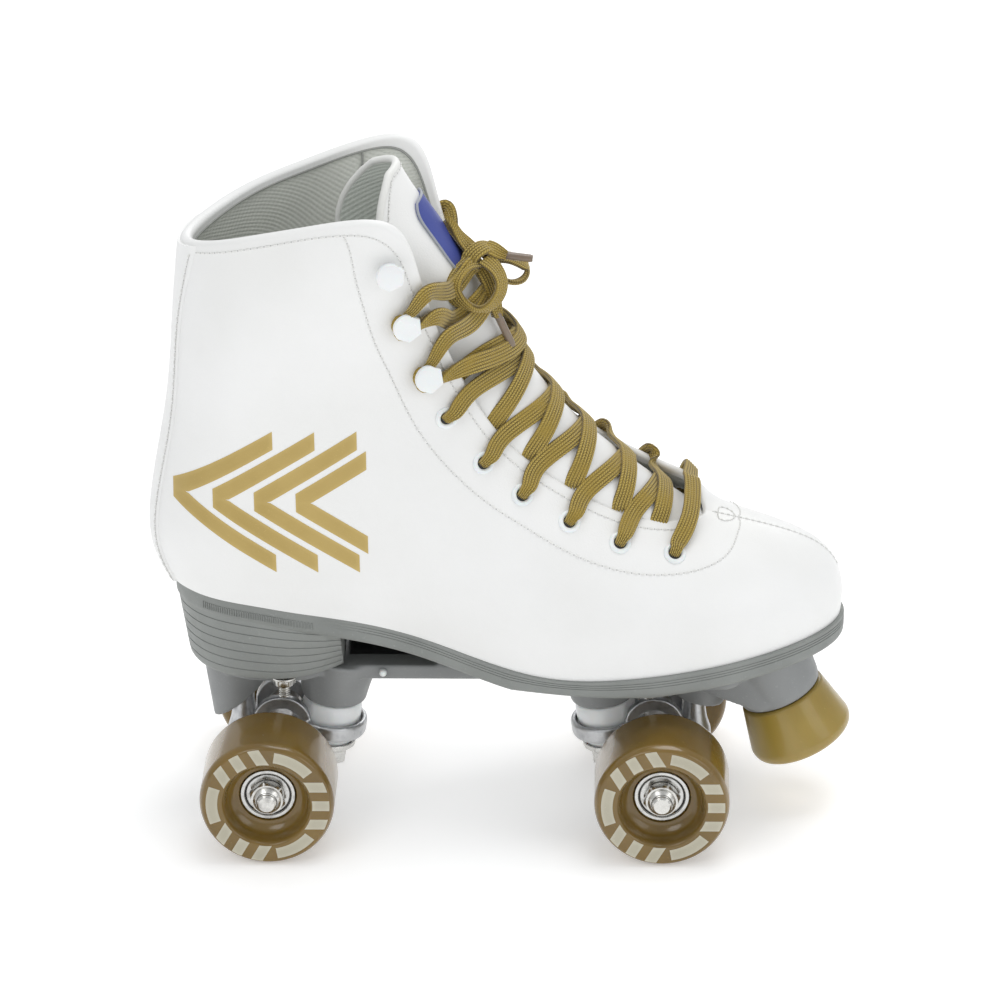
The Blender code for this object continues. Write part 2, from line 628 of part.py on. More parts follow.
def add_tongue():
    face = tongue_sheet("tongue", range(len(TONGUE)), TONGUE_ANGLES, 0)
    tongue = add("tongue", face, LEATHER_WHITE, SKATE)
    solidify(tongue, TONGUE_THICKNESS)
    patch = tongue_sheet("tongue_label", range(len(TONGUE) - 4, len(TONGUE) - 1), TONGUE_ANGLES[2:5], 0.4)
    label = add("tongue_label", patch, LABEL_BLUE, SKATE)
    solidify(label, 0.8, outward=True)


def add_hooks():
    """Three lace hooks a side: a rivet foot, a neck and a head."""
    for side, word in ((-1, "right"), (1, "left")):
        for number, (column, row) in enumerate(HOOKS, 1):
            base = boot_offset(column, row, side, 0.8)
            turn = Vector(boot_normal(column, row, side)).to_track_quat("Z", "Y").to_euler()
            turned(f"{word}_hook_{number}", [
                (0, 4.6), (5.4, 4.6), (5.4, 3.4), (2.2, 3.4), (2.2, 0.8), (3.6, 0.8), (3.6, 0), (0, 0),
            ], LEATHER_WHITE, SKATE, base, turn, steps=10)


def lace_path():
    """The lace's centre line: a bow end, down one zigzag, across the toe end and up the other."""
    def crossing(column, side, lift):
        """Over the tongue, from the side's edge to the other one."""
        middle = (boot_point(column, 1, -1) + boot_point(column, 1, 1)) / 2
        row = tongue_row_below(middle)
        lip = boot_offset(column, 1, 1, 4.5) - np.array((0, 4.5, 0))
        over = [tongue_point(row, angle, lift) for angle in (-50, -12, 22)] + [lip]
        return over[::-side]

    def strand(first_side, lift):
        points = []
        for i, (column, row) in enumerate(EYELETS):
            side = first_side if i % 2 == 0 else -first_side
            if i > 0:
                points.append(boot_offset(column - 0.14, 1, side, 4))
            points.append(boot_offset(column, row, side, 4.2))
            points.append(boot_offset(column + 0.14, 1, side, 4))
            if i < len(EYELETS) - 1:
                points += crossing(column + 0.3, side, lift)
        return points

    def bow(side):
        return [np.array(p) for p in (
            (91, 3 + side * 6, 228), (92, 3 + side * 12, 244), (97, 3 + side * 26, 238),
            (97, 3 + side * 24, 224), (96, 3 + side * 12, 226), (101, 3 + side * 6, 214),
            (106, 3 + side * 9, 203),
        )]

    down = strand(1, 3.2)
    up = strand(-1, 6.6)
    first = EYELETS[0][0]
    bar = [boot_offset(first, 1, 1, 4), *crossing(first, 1, 3.2), boot_offset(first, 1, -1, 4)]
    return bow(-1)[::-1] + down[::-1] + bar + up + bow(1)


def add_lace():
    curve = bpy.data.curves.new("lace", "CURVE")
    curve.dimensions = "3D"
    curve.bevel_depth = 1.3 * MM
    curve.bevel_resolution = 0
    curve.use_fill_caps = True
    path = lace_path()
    thread = curve.splines.new("POLY")
    thread.points.add(len(path) - 1)
    for point, place in zip(thread.points, path):
        point.co = (*(Vector(place) * MM), 1)
    lace = bpy.data.objects.new("lace", curve)
    PARTS.objects.link(lace)
    lace.parent = SKATE
    curve.materials.append(LACE_GOLD)
    weld = lace.modifiers.new("weld caps", "WELD")
    weld.merge_threshold = 0.00001


# ---------------------------------------------------------------- build
clear_scene()
PARTS = collection("quad_roller_skate")
TOOLS = collection("cutting_tools")

LEATHER_WHITE = material("white leatherette", 240, 240, 238, 0.45)
SOLE_GREY = material("grey sole", 135, 138, 138, 0.55)
NYLON = material("grey nylon", 133, 137, 140, 0.5)
URETHANE = material("bronze urethane", 138, 112, 48, 0.3)
STOP_RUBBER = material("bronze rubber", 165, 145, 75, 0.4)
WHITE_RUBBER = material("white urethane", 235, 236, 234, 0.4)
LINING_GREY = material("grey lining", 165, 170, 160, 0.9)
BOARD_BROWN = material("lasting board", 150, 125, 95, 0.85)
LABEL_BLUE = material("blue label", 75, 90, 160, 0.5)
LACE_GOLD = material("gold lace", 176, 146, 62, 0.8)
STEEL = material("bearing steel", 200, 200, 198, 0.25, 1.0)
ZINC = material("zinc plate", 205, 205, 202, 0.3, 1.0)
CAST = material("cast aluminium", 190, 192, 194, 0.4, 1.0)

SKATE = empty("skate", None, (-ORIGIN_X, 0, 0))
TRUCKS = (("rear", 0.0, 1), ("front", WHEELBASE, -1))
bpy.context.view_layer.update()
for truck_place, truck_x, truck_hand in TRUCKS:
    add_truck(truck_place, truck_x, truck_hand)
STOP_AXIS = toe_stop_axis()
add_plate(STOP_AXIS)
add_toe_stop(STOP_AXIS)
add_bolts()
add_outsole()
add_boot()
add_tongue()
add_hooks()
add_lace()
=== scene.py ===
"""Looks of the quad roller skate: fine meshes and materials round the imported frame.

Lengths are millimetres in a design frame with the rear axle at x = 0, the toe at +X, the wearer's
left at +Y and the ground at z = 0. world() turns them into the frame's metres.
"""
import math

import bmesh
import bpy
import numpy as np
from mathutils import Matrix, Vector
from mathutils.bvhtree import BVHTree

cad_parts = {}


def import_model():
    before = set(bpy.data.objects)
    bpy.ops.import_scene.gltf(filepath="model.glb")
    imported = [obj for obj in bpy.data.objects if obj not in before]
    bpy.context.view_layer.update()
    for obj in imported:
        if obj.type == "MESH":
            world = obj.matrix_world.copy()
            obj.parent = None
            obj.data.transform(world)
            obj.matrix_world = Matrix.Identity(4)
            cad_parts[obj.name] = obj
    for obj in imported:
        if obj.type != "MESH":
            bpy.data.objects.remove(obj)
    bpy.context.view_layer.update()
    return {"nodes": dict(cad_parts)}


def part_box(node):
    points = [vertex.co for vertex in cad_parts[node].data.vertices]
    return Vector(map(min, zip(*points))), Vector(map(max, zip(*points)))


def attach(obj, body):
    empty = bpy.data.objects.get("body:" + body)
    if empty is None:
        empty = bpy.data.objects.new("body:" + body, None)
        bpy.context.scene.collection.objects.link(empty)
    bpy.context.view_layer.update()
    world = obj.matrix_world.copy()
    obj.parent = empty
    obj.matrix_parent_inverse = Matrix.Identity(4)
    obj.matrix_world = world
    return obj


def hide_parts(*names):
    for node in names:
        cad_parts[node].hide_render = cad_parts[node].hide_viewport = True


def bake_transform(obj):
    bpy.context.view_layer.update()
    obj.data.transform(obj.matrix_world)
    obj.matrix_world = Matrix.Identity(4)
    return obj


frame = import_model()
MM = 0.001
ORIGIN = np.array((sum(corner.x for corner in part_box("rear_axle")) / 2, 0, 0))


def world(points):
    return np.asarray(points, float) * MM + ORIGIN


def node_box(node):
    """A CAD node's lowest and highest corner in the design frame."""
    return [(np.array(corner) - ORIGIN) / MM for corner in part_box(node)]


# ---- sizes read from the frame
WHEEL_LOW, WHEEL_HIGH = node_box("rear_left_wheel")
WHEEL_RADIUS = (WHEEL_HIGH[2] - WHEEL_LOW[2]) / 2
WHEEL_HALF = (WHEEL_HIGH[1] - WHEEL_LOW[1]) / 2
WHEEL_MID_Y = (WHEEL_HIGH[1] + WHEEL_LOW[1]) / 2
WHEELBASE = sum(node_box("front_axle"))[0] / 2
AXLE_END = node_box("rear_axle")[1][1]
HUB_FACE = node_box("rear_left_outer_bearing")[1][1] - WHEEL_MID_Y
HEEL_BOTTOM = node_box("outsole")[0][2]
# place, axle x, and 1 where the kingpin is in front of the axle or -1 where it is behind
TRUCKS = (("rear", 0.0, 1), ("front", WHEELBASE, -1))
KINGPIN_X, KINGPIN_Z = 24.0, 48.0
KINGPIN_TILT = math.radians(8)
PIVOT_X = -13.0
CUP_LOW = {"rear": 46.5, "front": 47.0}


# ---- shells: vertices in mm and faces
def unit(vectors):
    return vectors / np.linalg.norm(vectors, axis=-1, keepdims=True)


def full_turn(steps):
    return np.linspace(0, 2 * math.pi, steps, endpoint=False)


def circle(radius, turn, z):
    """Points round z at angles, on one level."""
    return np.stack([radius * np.cos(turn), radius * np.sin(turn), 0 * turn + z], 1)


def travelled(path):
    """How far along a path each of its points lies."""
    return np.concatenate([[0], np.linalg.norm(np.diff(path, axis=0), axis=1).cumsum()])


def resample(path, spacing):
    """The same path with evenly spaced points."""
    length = travelled(path)
    count = max(2, int(round(length[-1] / spacing)))
    return at_lengths(path, length, np.linspace(0, length[-1], count + 1))


def at_lengths(path, length, at):
    """Points of a path at given distances along it."""
    return np.stack([np.interp(at, length, column) for column in path.T], 1)


def grid(points, across=False, along=False):
    """A sheet points[row][column]; across joins the last column to the first, along the rows."""
    points = np.asarray(points, float)
    ids = np.arange(points.shape[0] * points.shape[1]).reshape(points.shape[:2])
    if along:
        ids = np.vstack([ids, ids[:1]])
    if across:
        ids = np.hstack([ids, ids[:, :1]])
    quads = np.stack([ids[:-1, :-1], ids[:-1, 1:], ids[1:, 1:], ids[1:, :-1]], -1)
    return points.reshape(-1, 3), quads.reshape(-1, 4).tolist()


def lathe(profile, steps=72, closed=True):
    """A turned shell about z; its profile (radius, z) runs up the outside and down the inside."""
    return grid([circle(r, full_turn(steps), z) for r, z in profile], across=True, along=closed)


def tube(path, radius, steps=12):
    """A round bar with flat ends through the points of a path; radius may vary along it."""
    ahead = unit(np.gradient(path, axis=0))
    side = unit(np.cross(ahead, (0.13, 0.31, 0.94)))
    turn = full_turn(steps)[:, None]
    ring = side[:, None] * np.cos(turn) + np.cross(ahead, side)[:, None] * np.sin(turn)
    return capped(path[:, None] + ring * np.broadcast_to(radius, len(path))[:, None, None])


def capped(rows):
    """A closed solid through rings of points."""
    points, faces = grid(rows, across=True)
    low = list(range(len(rows[0])))
    return points, faces + [low[::-1], [len(points) - len(low) + i for i in low]]


def slab_of(top, bottom):
    """A closed solid between two sheets of the same size."""
    points, quads = grid(top)
    count = len(points)
    ids = np.arange(count).reshape(np.shape(top)[:2])
    rim = np.concatenate([ids[0], ids[1:, -1], ids[-1, -2::-1], ids[-2:0:-1, 0]]).tolist()
    faces = quads + [[count + i for i in reversed(quad)] for quad in quads]
    faces += [[a, count + a, count + b, b] for a, b in zip(rim, rim[1:] + rim[:1])]
    return np.concatenate([points, np.reshape(bottom, (-1, 3))]), faces


def rounded(points, radius, steps=4, closed=True):
    """A polyline with its corners rounded off."""
    points = [np.array(p, float) for p in points]
    made = []
    for i, (p, wanted) in enumerate(zip(points, np.broadcast_to(radius, len(points)))):
        if not closed and i in (0, len(points) - 1):
            made.append(p)
            continue
        a, b = points[i - 1] - p, points[(i + 1) % len(points)] - p
        reach = min(wanted, 0.48 * np.linalg.norm(a), 0.48 * np.linalg.norm(b))
        start, end = p + unit(a) * reach, p + unit(b) * reach
        for t in np.linspace(0, 1, steps + 1):
            made.append((1 - t) ** 2 * start + 2 * t * (1 - t) * p + t * t * end)
    return made


def extruded(outline, ends, axis):
    """A closed solid from a flat outline between two places along an axis, 1 for y or 2 for z."""
    return capped([np.insert(np.asarray(outline, float), axis, end, axis=1) for end in ends])


def oblong(low, high):
    """The outline of a rectangle between two corners."""
    return [low, (high[0], low[1]), high, (low[0], high[1])]


def mirrored(points):
    """Points and, back from the last, their mirror images with the second value turned over."""
    return points + [(a, -b) for a, b in points[::-1]]


def block(low, high):
    return extruded(oblong(low[:2], high[:2]), (low[2], high[2]), 2)


def moved(shell, matrix):
    """A shell at another place; what else it carries comes along."""
    m = np.array(matrix)
    return (shell[0] @ m[:3, :3].T + m[:3, 3], *shell[1:])


def axis_frame(origin, axis, hint=(1, 0, 0)):
    """The matrix that puts z on an axis through an origin."""
    z = unit(np.array(axis, float))
    y = unit(np.cross(z, hint))
    matrix = np.eye(4)
    matrix[:3] = np.column_stack([np.cross(y, z), y, z, origin])
    return matrix


def turned(profile, place, rounding=0, steps=72, corner=4, closed=True):
    """A lathed shell at a place, its profile's corners rounded off."""
    if np.any(rounding):
        profile = rounded(profile, rounding, corner, closed)
    return moved(lathe(profile, steps, closed), place)


def hex_nut(flats, low, high, bore, chamfer=0.9, collar=0.0):
    """A hexagon nut about z, chamfered, with a rounded locking crown where collar isn't 0."""
    turn = full_turn(72)
    half, corner, top = flats / 2, flats / 2 / math.cos(math.pi / 6), high - collar
    wall = half / np.cos(turn % (math.pi / 3) - math.pi / 6)
    levels = [(bore, low), (half - 0.2, low), (corner, low + chamfer), (corner, top - chamfer)]
    levels.append((half - 0.1, top))
    if collar:
        crown = half - 0.9
        levels += [(crown, top + 0.1), (crown, high - 1.2), (crown - 0.9, high - 0.3), (crown - 1.3, high)]
    levels += [(bore + 0.3, high), (bore, high - 0.5)]
    return grid([circle(np.minimum(wall, limit), turn, z) for limit, z in levels], across=True, along=True)


def threads(radius, low, high, pitch=1.25, depth=0.55):
    """The outline of a threaded bar, from low up to its chamfered end."""
    points = [(radius, low)]
    for i in range(int((high - low - 1) / pitch)):
        for r, share in ((radius, 0.25), (radius - depth, 0.6), (radius, 0.95)):
            points.append((r, low + (i + share) * pitch))
    return points + [(radius, high - 0.8), (radius - 0.8, high), (0, high)]


# ---- pieces
def add_piece(name, shells, look, replaces="", sharp=50, body="root", weld=False, attributes=None):
    """One piece from shells; a shell may carry its own place in the list of looks. With no body
    the caller says later what the piece follows."""
    points, faces, places, start = [], [], [], 0
    for shell in shells:
        points.append(world(shell[0]))
        faces += [[start + i for i in face] for face in shell[1]]
        places += [shell[2] if len(shell) > 2 else 0] * len(shell[1])
        start += len(shell[0])
    mesh = bpy.data.meshes.new(name)
    mesh.from_pydata(np.concatenate(points).tolist(), [], faces)
    mesh.polygons.foreach_set("material_index", places)
    for key, values in (attributes or {}).items():
        values = np.asarray(values, np.float32).ravel()
        mesh.attributes.new(key, "FLOAT", "POINT").data.foreach_set("value", values)
    for one in look if isinstance(look, list) else [look]:
        mesh.materials.append(one)
    if weld:
        bm = bmesh.new()
        bm.from_mesh(mesh)
        bmesh.ops.remove_doubles(bm, verts=bm.verts, dist=1e-6)
        bmesh.ops.dissolve_degenerate(bm, edges=bm.edges, dist=1e-7)
        bm.to_mesh(mesh)
        bm.free()
    mesh.shade_smooth()
    mesh.set_sharp_from_angle(angle=math.radians(sharp))
    piece = bpy.data.objects.new(name, mesh)
    bpy.context.scene.collection.objects.link(piece)
    if body:
        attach(piece, body)
    if replaces:
        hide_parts(*replaces.split())
    return piece


def fused(name, shells, look, replaces, body, voxel):
    """Shells grown together into one casting or moulding with soft inside corners."""
    piece = add_piece(name, shells, look, replaces, body=None)
    remesh = piece.modifiers.new("fuse", "REMESH")
    remesh.mode = "VOXEL"
    remesh.voxel_size = voxel * MM
    smooth = piece.modifiers.new("soften", "SMOOTH")
    smooth.factor = 0.5
    smooth.iterations = 3
    bpy.context.view_layer.update()
    made = bpy.data.meshes.new_from_object(piece.evaluated_get(bpy.context.evaluated_depsgraph_get()))
    piece.modifiers.clear()
    piece.data = made
    made.shade_smooth()
    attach(piece, body)


# ---- materials
def colour(base, step=0, limit=255):
    """A linear colour from 0 to 255 sRGB values, all moved by a step."""
    channels = [min(c + step, limit) / 255 for c in base]
    return (*[c / 12.92 if c <= 0.04045 else ((c + 0.055) / 1.055) ** 2.4 for c in channels], 1.0)


class Look:
    """A Principled material with helpers for its node tree; scales are per metre."""

    def __init__(self, name, base, roughness, metallic=0.0, **inputs):
        self.material = bpy.data.materials.new(name)
        self.material.use_nodes = True
        self.tree = self.material.node_tree
        self.shader = self.tree.nodes["Principled BSDF"]
        given = {"Base Color": base, "Roughness": roughness, "Metallic": metallic, **inputs}
        for key, value in given.items():
            self.shader.inputs[key.replace("_", " ")].default_value = value
        self.place = self.node("ShaderNodeTexCoord").outputs["Object"]
        self.height = None

    def node(self, kind, inputs=None, **settings):
        made = self.tree.nodes.new(kind)
        for key, value in settings.items():
            setattr(made, key, value)
        for key, value in (inputs or {}).items():
            if hasattr(value, "links"):
                self.tree.links.new(value, made.inputs[key])
            else:
                made.inputs[key].default_value = value
        return made

    def noise(self, scale, detail=3.0):
        inputs = {"Vector": self.place, "Scale": scale, "Detail": detail}
        return self.node("ShaderNodeTexNoise", inputs).outputs["Fac"]

    def attribute(self, name):
        return self.node("ShaderNodeAttribute", attribute_name=name).outputs["Fac"]

    def math(self, operation, a, b=0.0, c=0.0):
        return self.node("ShaderNodeMath", {0: a, 1: b, 2: c}, operation=operation).outputs[0]

    def wave(self, value, spacing, offset=0.0):
        """A sine of a value, one wave for each spacing."""
        return self.math("SINE", self.math("MULTIPLY_ADD", value, 2 * math.pi / spacing, offset))

    def fit(self, value, low, high, out_low, out_high):
        return self.node("ShaderNodeMapRange", {"Value": value, "From Min": low, "From Max": high,
                                                "To Min": out_low, "To Max": out_high}).outputs["Result"]

    def bump(self, height, depth, strength=0.5):
        """Adds relief, depth in mm."""
        made = self.node("ShaderNodeBump", {"Height": height, "Distance": depth * MM, "Strength": strength})
        if self.height:
            self.tree.links.new(self.height, made.inputs["Normal"])
        self.height = made.outputs["Normal"]
        self.tree.links.new(self.height, self.shader.inputs["Normal"])
        return self

    def tint(self, value, low, high, other):
        """Mixes another colour in as value goes from low to high."""
        share = self.fit(value, low, high, 0, 1)
        base = self.shader.inputs["Base Color"]
        mix = self.node("ShaderNodeMix", {0: share, 7: other}, data_type="RGBA")
        if base.is_linked:
            self.tree.links.new(base.links[0].from_socket, mix.inputs[6])
        else:
            mix.inputs[6].default_value = base.default_value
        self.tree.links.new(mix.outputs[2], base)

    def gloss(self, value, high, rough_low, rough_high):
        roughness = self.fit(value, 0.3, high, rough_low, rough_high)
        self.tree.links.new(roughness, self.shader.inputs["Roughness"])


def leather(name, base, grain=1.0):
    look = Look(name, colour(base), 0.42, Specular_IOR_Level=0.45, Coat_Weight=0.06, Coat_Roughness=0.3)
    pebble = look.node("ShaderNodeTexVoronoi", {"Vector": look.place, "Scale": 1500}, feature="SMOOTH_F1")
    look.tint(look.noise(22), 0.35, 0.75, colour((base[0] - 5, base[1] - 5, base[2] - 6)))
    look.gloss(look.noise(160), 0.7, 0.36, 0.5)
    look.bump(pebble.outputs["Distance"], 0.10 * grain).bump(look.noise(2600, 2), 0.05 * grain)
    return look.bump(look.noise(70, 2), 0.35, 0.25).material


def moulded(name, base, roughness, speck=1500, relief=0.05):
    look = Look(name, colour(base), roughness)
    look.tint(look.noise(45), 0.35, 0.7, colour(base, -9))
    look.tint(look.noise(speck, 4), 0.62, 0.8, colour(base, 12))
    look.tint(look.node("ShaderNodeNewGeometry").outputs["Pointiness"], 0.52, 0.72, colour(base, 22))
    look.gloss(look.noise(220), 0.7, roughness - 0.07, roughness + 0.1)
    return look.bump(look.noise(speck, 3), relief).material


def urethane(name, base, deep, roughness):
    look = Look(name, colour(base), roughness, Subsurface_Weight=0.08, Subsurface_Scale=0.004,
                Coat_Weight=0.35, Coat_Roughness=0.12)
    look.tint(look.noise(35), 0.35, 0.75, colour(deep))
    look.tint(look.noise(700, 4), 0.66, 0.8, colour(base, 14, math.inf))
    look.gloss(look.noise(90), 0.75, roughness - 0.06, roughness + 0.08)
    return look.bump(look.noise(500, 2), 0.03, 0.4).material


def metal(name, base, roughness, grain, relief, blotch=(150, 148, 145)):
    look = Look(name, colour(base), roughness, 1.0)
    look.tint(look.noise(300, 4), 0.5, 0.85, colour(blotch))
    look.gloss(look.noise(grain, 4), 0.7, roughness - 0.08, roughness + 0.14)
    return look.bump(look.noise(grain, 3), relief).material


def knitted(name, base, dark, across, rows):
    """Fabric with knit rows, darker in the rows' troughs as painted shade; the mesh carries how far along and
    round each point lies, in mm.
    """
    look = Look(name, colour(base), 0.92, Sheen_Weight=0.25, Sheen_Roughness=0.5)
    row = look.wave(look.attribute("along"), rows, look.math("MULTIPLY", look.noise(60, 2), 0.5))
    weave = look.math("MULTIPLY_ADD", look.wave(look.attribute("round"), across), 0.35, row)
    # painted shade: darker in the troughs of the knit rows
    look.tint(weave, 0.2, -1.3, colour(dark))
    look.tint(look.noise(60), 0.4, 0.7, colour(base, -8))
    return look.bump(weave, 0.16, 0.45).bump(look.noise(3000, 2), 0.12).material


def braided(name, base, dark, light):
    """Flat braid: ribs along it and slanted yarns in each rib, with painted shade in the grooves between ribs
    and yarns and a painted highlight on their crests.
    """
    look = Look(name, colour(base), 0.8, Sheen_Weight=0.35, Sheen_Roughness=0.45)
    across, along = look.attribute("across"), look.attribute("along")
    wave = look.wave(across, 2 / 3)
    rib = look.math("ABSOLUTE", wave)
    slant = look.math("MULTIPLY", look.math("SIGN", wave), look.math("MULTIPLY", across, 15.4))
    yarn = look.wave(along, 1.05, slant)
    # painted shade: darker in the grooves between the ribs and between the yarns
    look.tint(rib, 0.7, 0.1, colour(dark))
    look.tint(yarn, 0.1, -2.6, colour(dark))
    # painted highlight: lighter on the yarns' crests on each rib
    look.tint(look.math("MULTIPLY", yarn, rib), 0.35, 1.1, colour(light))
    look.tint(look.noise(120), 0.4, 0.75, colour(base, -14))
    look.bump(look.math("MULTIPLY_ADD", yarn, 0.45, rib), 0.34, 0.9)
    return look.bump(look.noise(4000, 2), 0.12, 0.6).material


LEATHER = "white_leatherette"
WHITE = leather(LEATHER, (240, 240, 239))
BINDING = leather("white_binding", (236, 236, 233), 0.6)
SOLE = moulded("moulded_sole", (136, 139, 136), 0.5, 800, 0.06)
NYLON = moulded("moulded_nylon", (142, 144, 144), 0.46, 1100, 0.04)
WHEEL_LOOK = urethane("bronze_urethane", (124, 98, 40), (102, 80, 33), 0.2)
STOP_LOOK = urethane("bronze_rubber", (160, 136, 62), (140, 117, 50), 0.34)
CUSHION_LOOK = urethane("white_urethane", (241, 243, 243), (230, 233, 234), 0.34)
STEEL = metal("bearing_steel", (205, 205, 203), 0.2, 500, 0.01)
ZINC = metal("zinc_plate", (214, 213, 209), 0.22, 900, 0.02)
CAST = metal("cast_aluminium", (196, 197, 198), 0.36, 1300, 0.07, (160, 162, 165))
# each knit's second colour is painted shade for its troughs
LINING_LOOK = knitted("knitted_lining", (220, 222, 215), (203, 206, 198), 1.5, 1.5)
TONGUE_LINING = knitted("ribbed_tongue_lining", (214, 219, 212), (194, 199, 192), 1.4, 1.8)
# the lace's second colour is painted shade for its grooves, the third a painted highlight for its crests
LACE_LOOK = braided("gold_braid", (182, 156, 72), (84, 68, 24), (212, 190, 112))
PRINT = moulded("gold_print", (186, 160, 92), 0.42, relief=0.02)
WHEEL_PRINT = moulded("silver_print", (184, 179, 160), 0.36, relief=0.02)
LABEL_LOOK = moulded("blue_label", (72, 84, 156), 0.42, 1800, 0.03)
LABEL_EDGE = moulded("grey_edging", (160, 164, 172), 0.5, relief=0.03)
THREAD = moulded("white_thread", (222, 222, 219), 0.7, 2600)
# grey of the needle holes: painted shade of the small pits the thread goes into
DARK = moulded("painted_hole_shade", (196, 196, 194), 0.9)
DARK_SEAM = moulded("lining_seam", (150, 152, 148), 0.9)
# black only stands for shade: painted shade in the eyelets' holes, the gaps round the bearing shields and the
# chassis recess and web
SHADE_BLACK = moulded("painted_shade_black", (26, 26, 27), 0.55, relief=0.03)
AGLET_LOOK = urethane("smoked_aglet", (134, 118, 102), (112, 97, 82), 0.3)
BOARD = moulded("lasting_board", (150, 125, 95), 0.85, 400, 0.1)


# ---- the boot's surface
# A column of five points from the sole to the top edge, from the toe round one side to the heel.
BOOT_CAGE = np.array([
    [(229.5, 0, 81.5), (229.6, 0, 96), (218.5, 0, 112.5), (190, 0, 123.6), (174.5, 0, 127.8)],
    [(218, 21.5, 80.9), (219.5, 20.5, 96.5), (208.5, 17, 112.5), (184, 12, 123), (173, 5.5, 128.2)],
    [(186, 38.5, 78.4), (186.5, 38.5, 95), (182, 33.5, 109), (173, 24, 120), (165, 12, 130)],
    [(145, 43.5, 74.6), (145, 43.5, 92), (143, 40, 106), (142, 31, 121), (143, 16.5, 135.5)],
    [(105, 38, 74), (106, 41, 92), (107, 39, 111), (109, 31, 133), (112, 18, 154)],
    [(65, 29.5, 84.7), (68, 35, 105), (72, 36, 130), (77, 31.5, 156), (87.5, 20, 181)],
    [(35, 31, 94), (38.5, 34, 119), (45, 34.5, 149), (53, 32, 186), (69, 29.5, 226)],
    [(12, 31.5, 98), (15, 34.5, 125), (21, 34.5, 158), (34, 35, 207), (62, 37, 255)],
    [(-3, 31, 100.5), (-4, 34, 128), (1, 33.5, 165), (14, 36.5, 218), (48, 40.5, 269.5)],
    [(-18, 28, 102), (-20, 31, 130), (-16, 30, 170), (-7, 33.5, 220), (14, 35.5, 263.5)],
    [(-32, 18.5, 102.5), (-38, 20, 130), (-31, 19.5, 170), (-26, 21, 215), (-13, 27, 256)],
    [(-41, 0, 102.5), (-47, 0, 128), (-39, 0, 175), (-34.6, 0, 214), (-31, 0, 248.5)],
])
COLUMNS = len(BOOT_CAGE) - 1
CAGE_RING = np.concatenate([BOOT_CAGE, BOOT_CAGE[-2:0:-1] * (1.0, -1.0, 1.0)])
TOE_SWING, BALL_X, TOE_REACH = 8.0, 100.0, 130.0
INSTEP_RISE = (0, 3, 9, 13, 13.5, 12.5, 9, 7.5, 7, 3.5, 0, 0)
RISE_DIRECTION = np.array((0.55, 0.42, 0.72))
RISE_ROW = 0.4


def between(low, high, low_bend, high_bend, t):
    """A cubic spline's place at t between two knots."""
    s = 1 - t
    return s * low + t * high + (s ** 3 - s) * low_bend / 6 + (t ** 3 - t) * high_bend / 6


def ring_spline(knots, at):
    """The smooth closed curve through knots, at places counted in knots."""
    count = len(knots)
    identity = np.eye(count)
    system = 4 * identity + np.roll(identity, 1, 0) + np.roll(identity, -1, 0)
    bend = 6 * (np.roll(knots, -1, 0) - 2 * knots + np.roll(knots, 1, 0))
    bend = np.linalg.solve(system, bend.reshape(count, -1)).reshape(knots.shape)
    i = at.astype(int) % count
    j = (i + 1) % count
    return between(knots[i], knots[j], bend[i], bend[j], (at - np.floor(at))[:, None, None])


def open_spline(knots, at):
    """The smooth open curve through knots, at places counted in knots."""
    knots = np.asarray(knots, float)
    count = len(knots)
    system = np.eye(count)
    for i in range(1, count - 1):
        system[i, i - 1:i + 2] = 1, 4, 1
    bend = np.zeros_like(knots)
    bend[1:-1] = 6 * (knots[2:] - 2 * knots[1:-1] + knots[:-2])
    bend = np.linalg.solve(system, bend)
    at = np.clip(np.asarray(at, float), 0, count - 1)
    i = np.minimum(at.astype(int), count - 2)
    return between(knots[i], knots[i + 1], bend[i], bend[i + 1], (at - i)[:, None])


def toe_middle(x):
    """How far the boot's middle line has swung to the left at an x."""
    return TOE_SWING * np.clip((x - BALL_X) / TOE_REACH, 0, None) ** 2


def boot(columns, rows):
    """Points on the boot's outside. A column counts from 0 at the toe to 11 at the heel, positive
    on the left side and negative on the right; a row goes from 0 at the sole to 1 at the edge."""
    columns, rows = np.broadcast_arrays(np.asarray(columns, float), np.asarray(rows, float))
    shape = columns.shape
    columns, rows = columns.ravel(), rows.ravel()
    levels = ring_spline(CAGE_RING, columns % len(CAGE_RING))
    inside = np.array([[4, 1, 0], [1, 4, 1], [0, 1, 4]], float)
    bend = np.zeros_like(levels)
    curve = 6 * (levels[:, 2:] - 2 * levels[:, 1:-1] + levels[:, :-2])
    bend[:, 1:-1] = np.einsum("ij,njk->nik", np.linalg.inv(inside), curve)
    at = rows * 4
    i = np.clip(at.astype(int), 0, 3)
    n = np.arange(len(at))
    place = between(levels[n, i], levels[n, i + 1], bend[n, i], bend[n, i + 1], (at - i)[:, None])
    place[:, 1] += toe_middle(place[:, 0])
    share = np.clip((rows - RISE_ROW) / (1 - RISE_ROW), 0, None) ** 1.5
    left = ((columns + COLUMNS) % (2 * COLUMNS) - COLUMNS).clip(0)
    rise = open_spline(np.array(INSTEP_RISE)[:, None], left)[:, 0] * share
    place += rise[:, None] * RISE_DIRECTION
    return place.reshape(shape + (3,))


def boot_directions(columns, rows):
    """Unit vectors out of the surface and up it."""
    step = 0.02
    up = boot(columns, np.clip(rows + step, 0, 1)) - boot(columns, np.clip(rows - step, 0, 1))
    along = boot(columns + step, rows) - boot(columns - step, rows)
    return unit(np.cross(along, up)), unit(up)


def off_boot(columns, rows, distance):
    """Points a distance outside the boot's surface, or inside it when negative."""
    out, _ = boot_directions(columns, rows)
    return boot(columns, rows) + out * np.asarray(distance, float)[..., None]


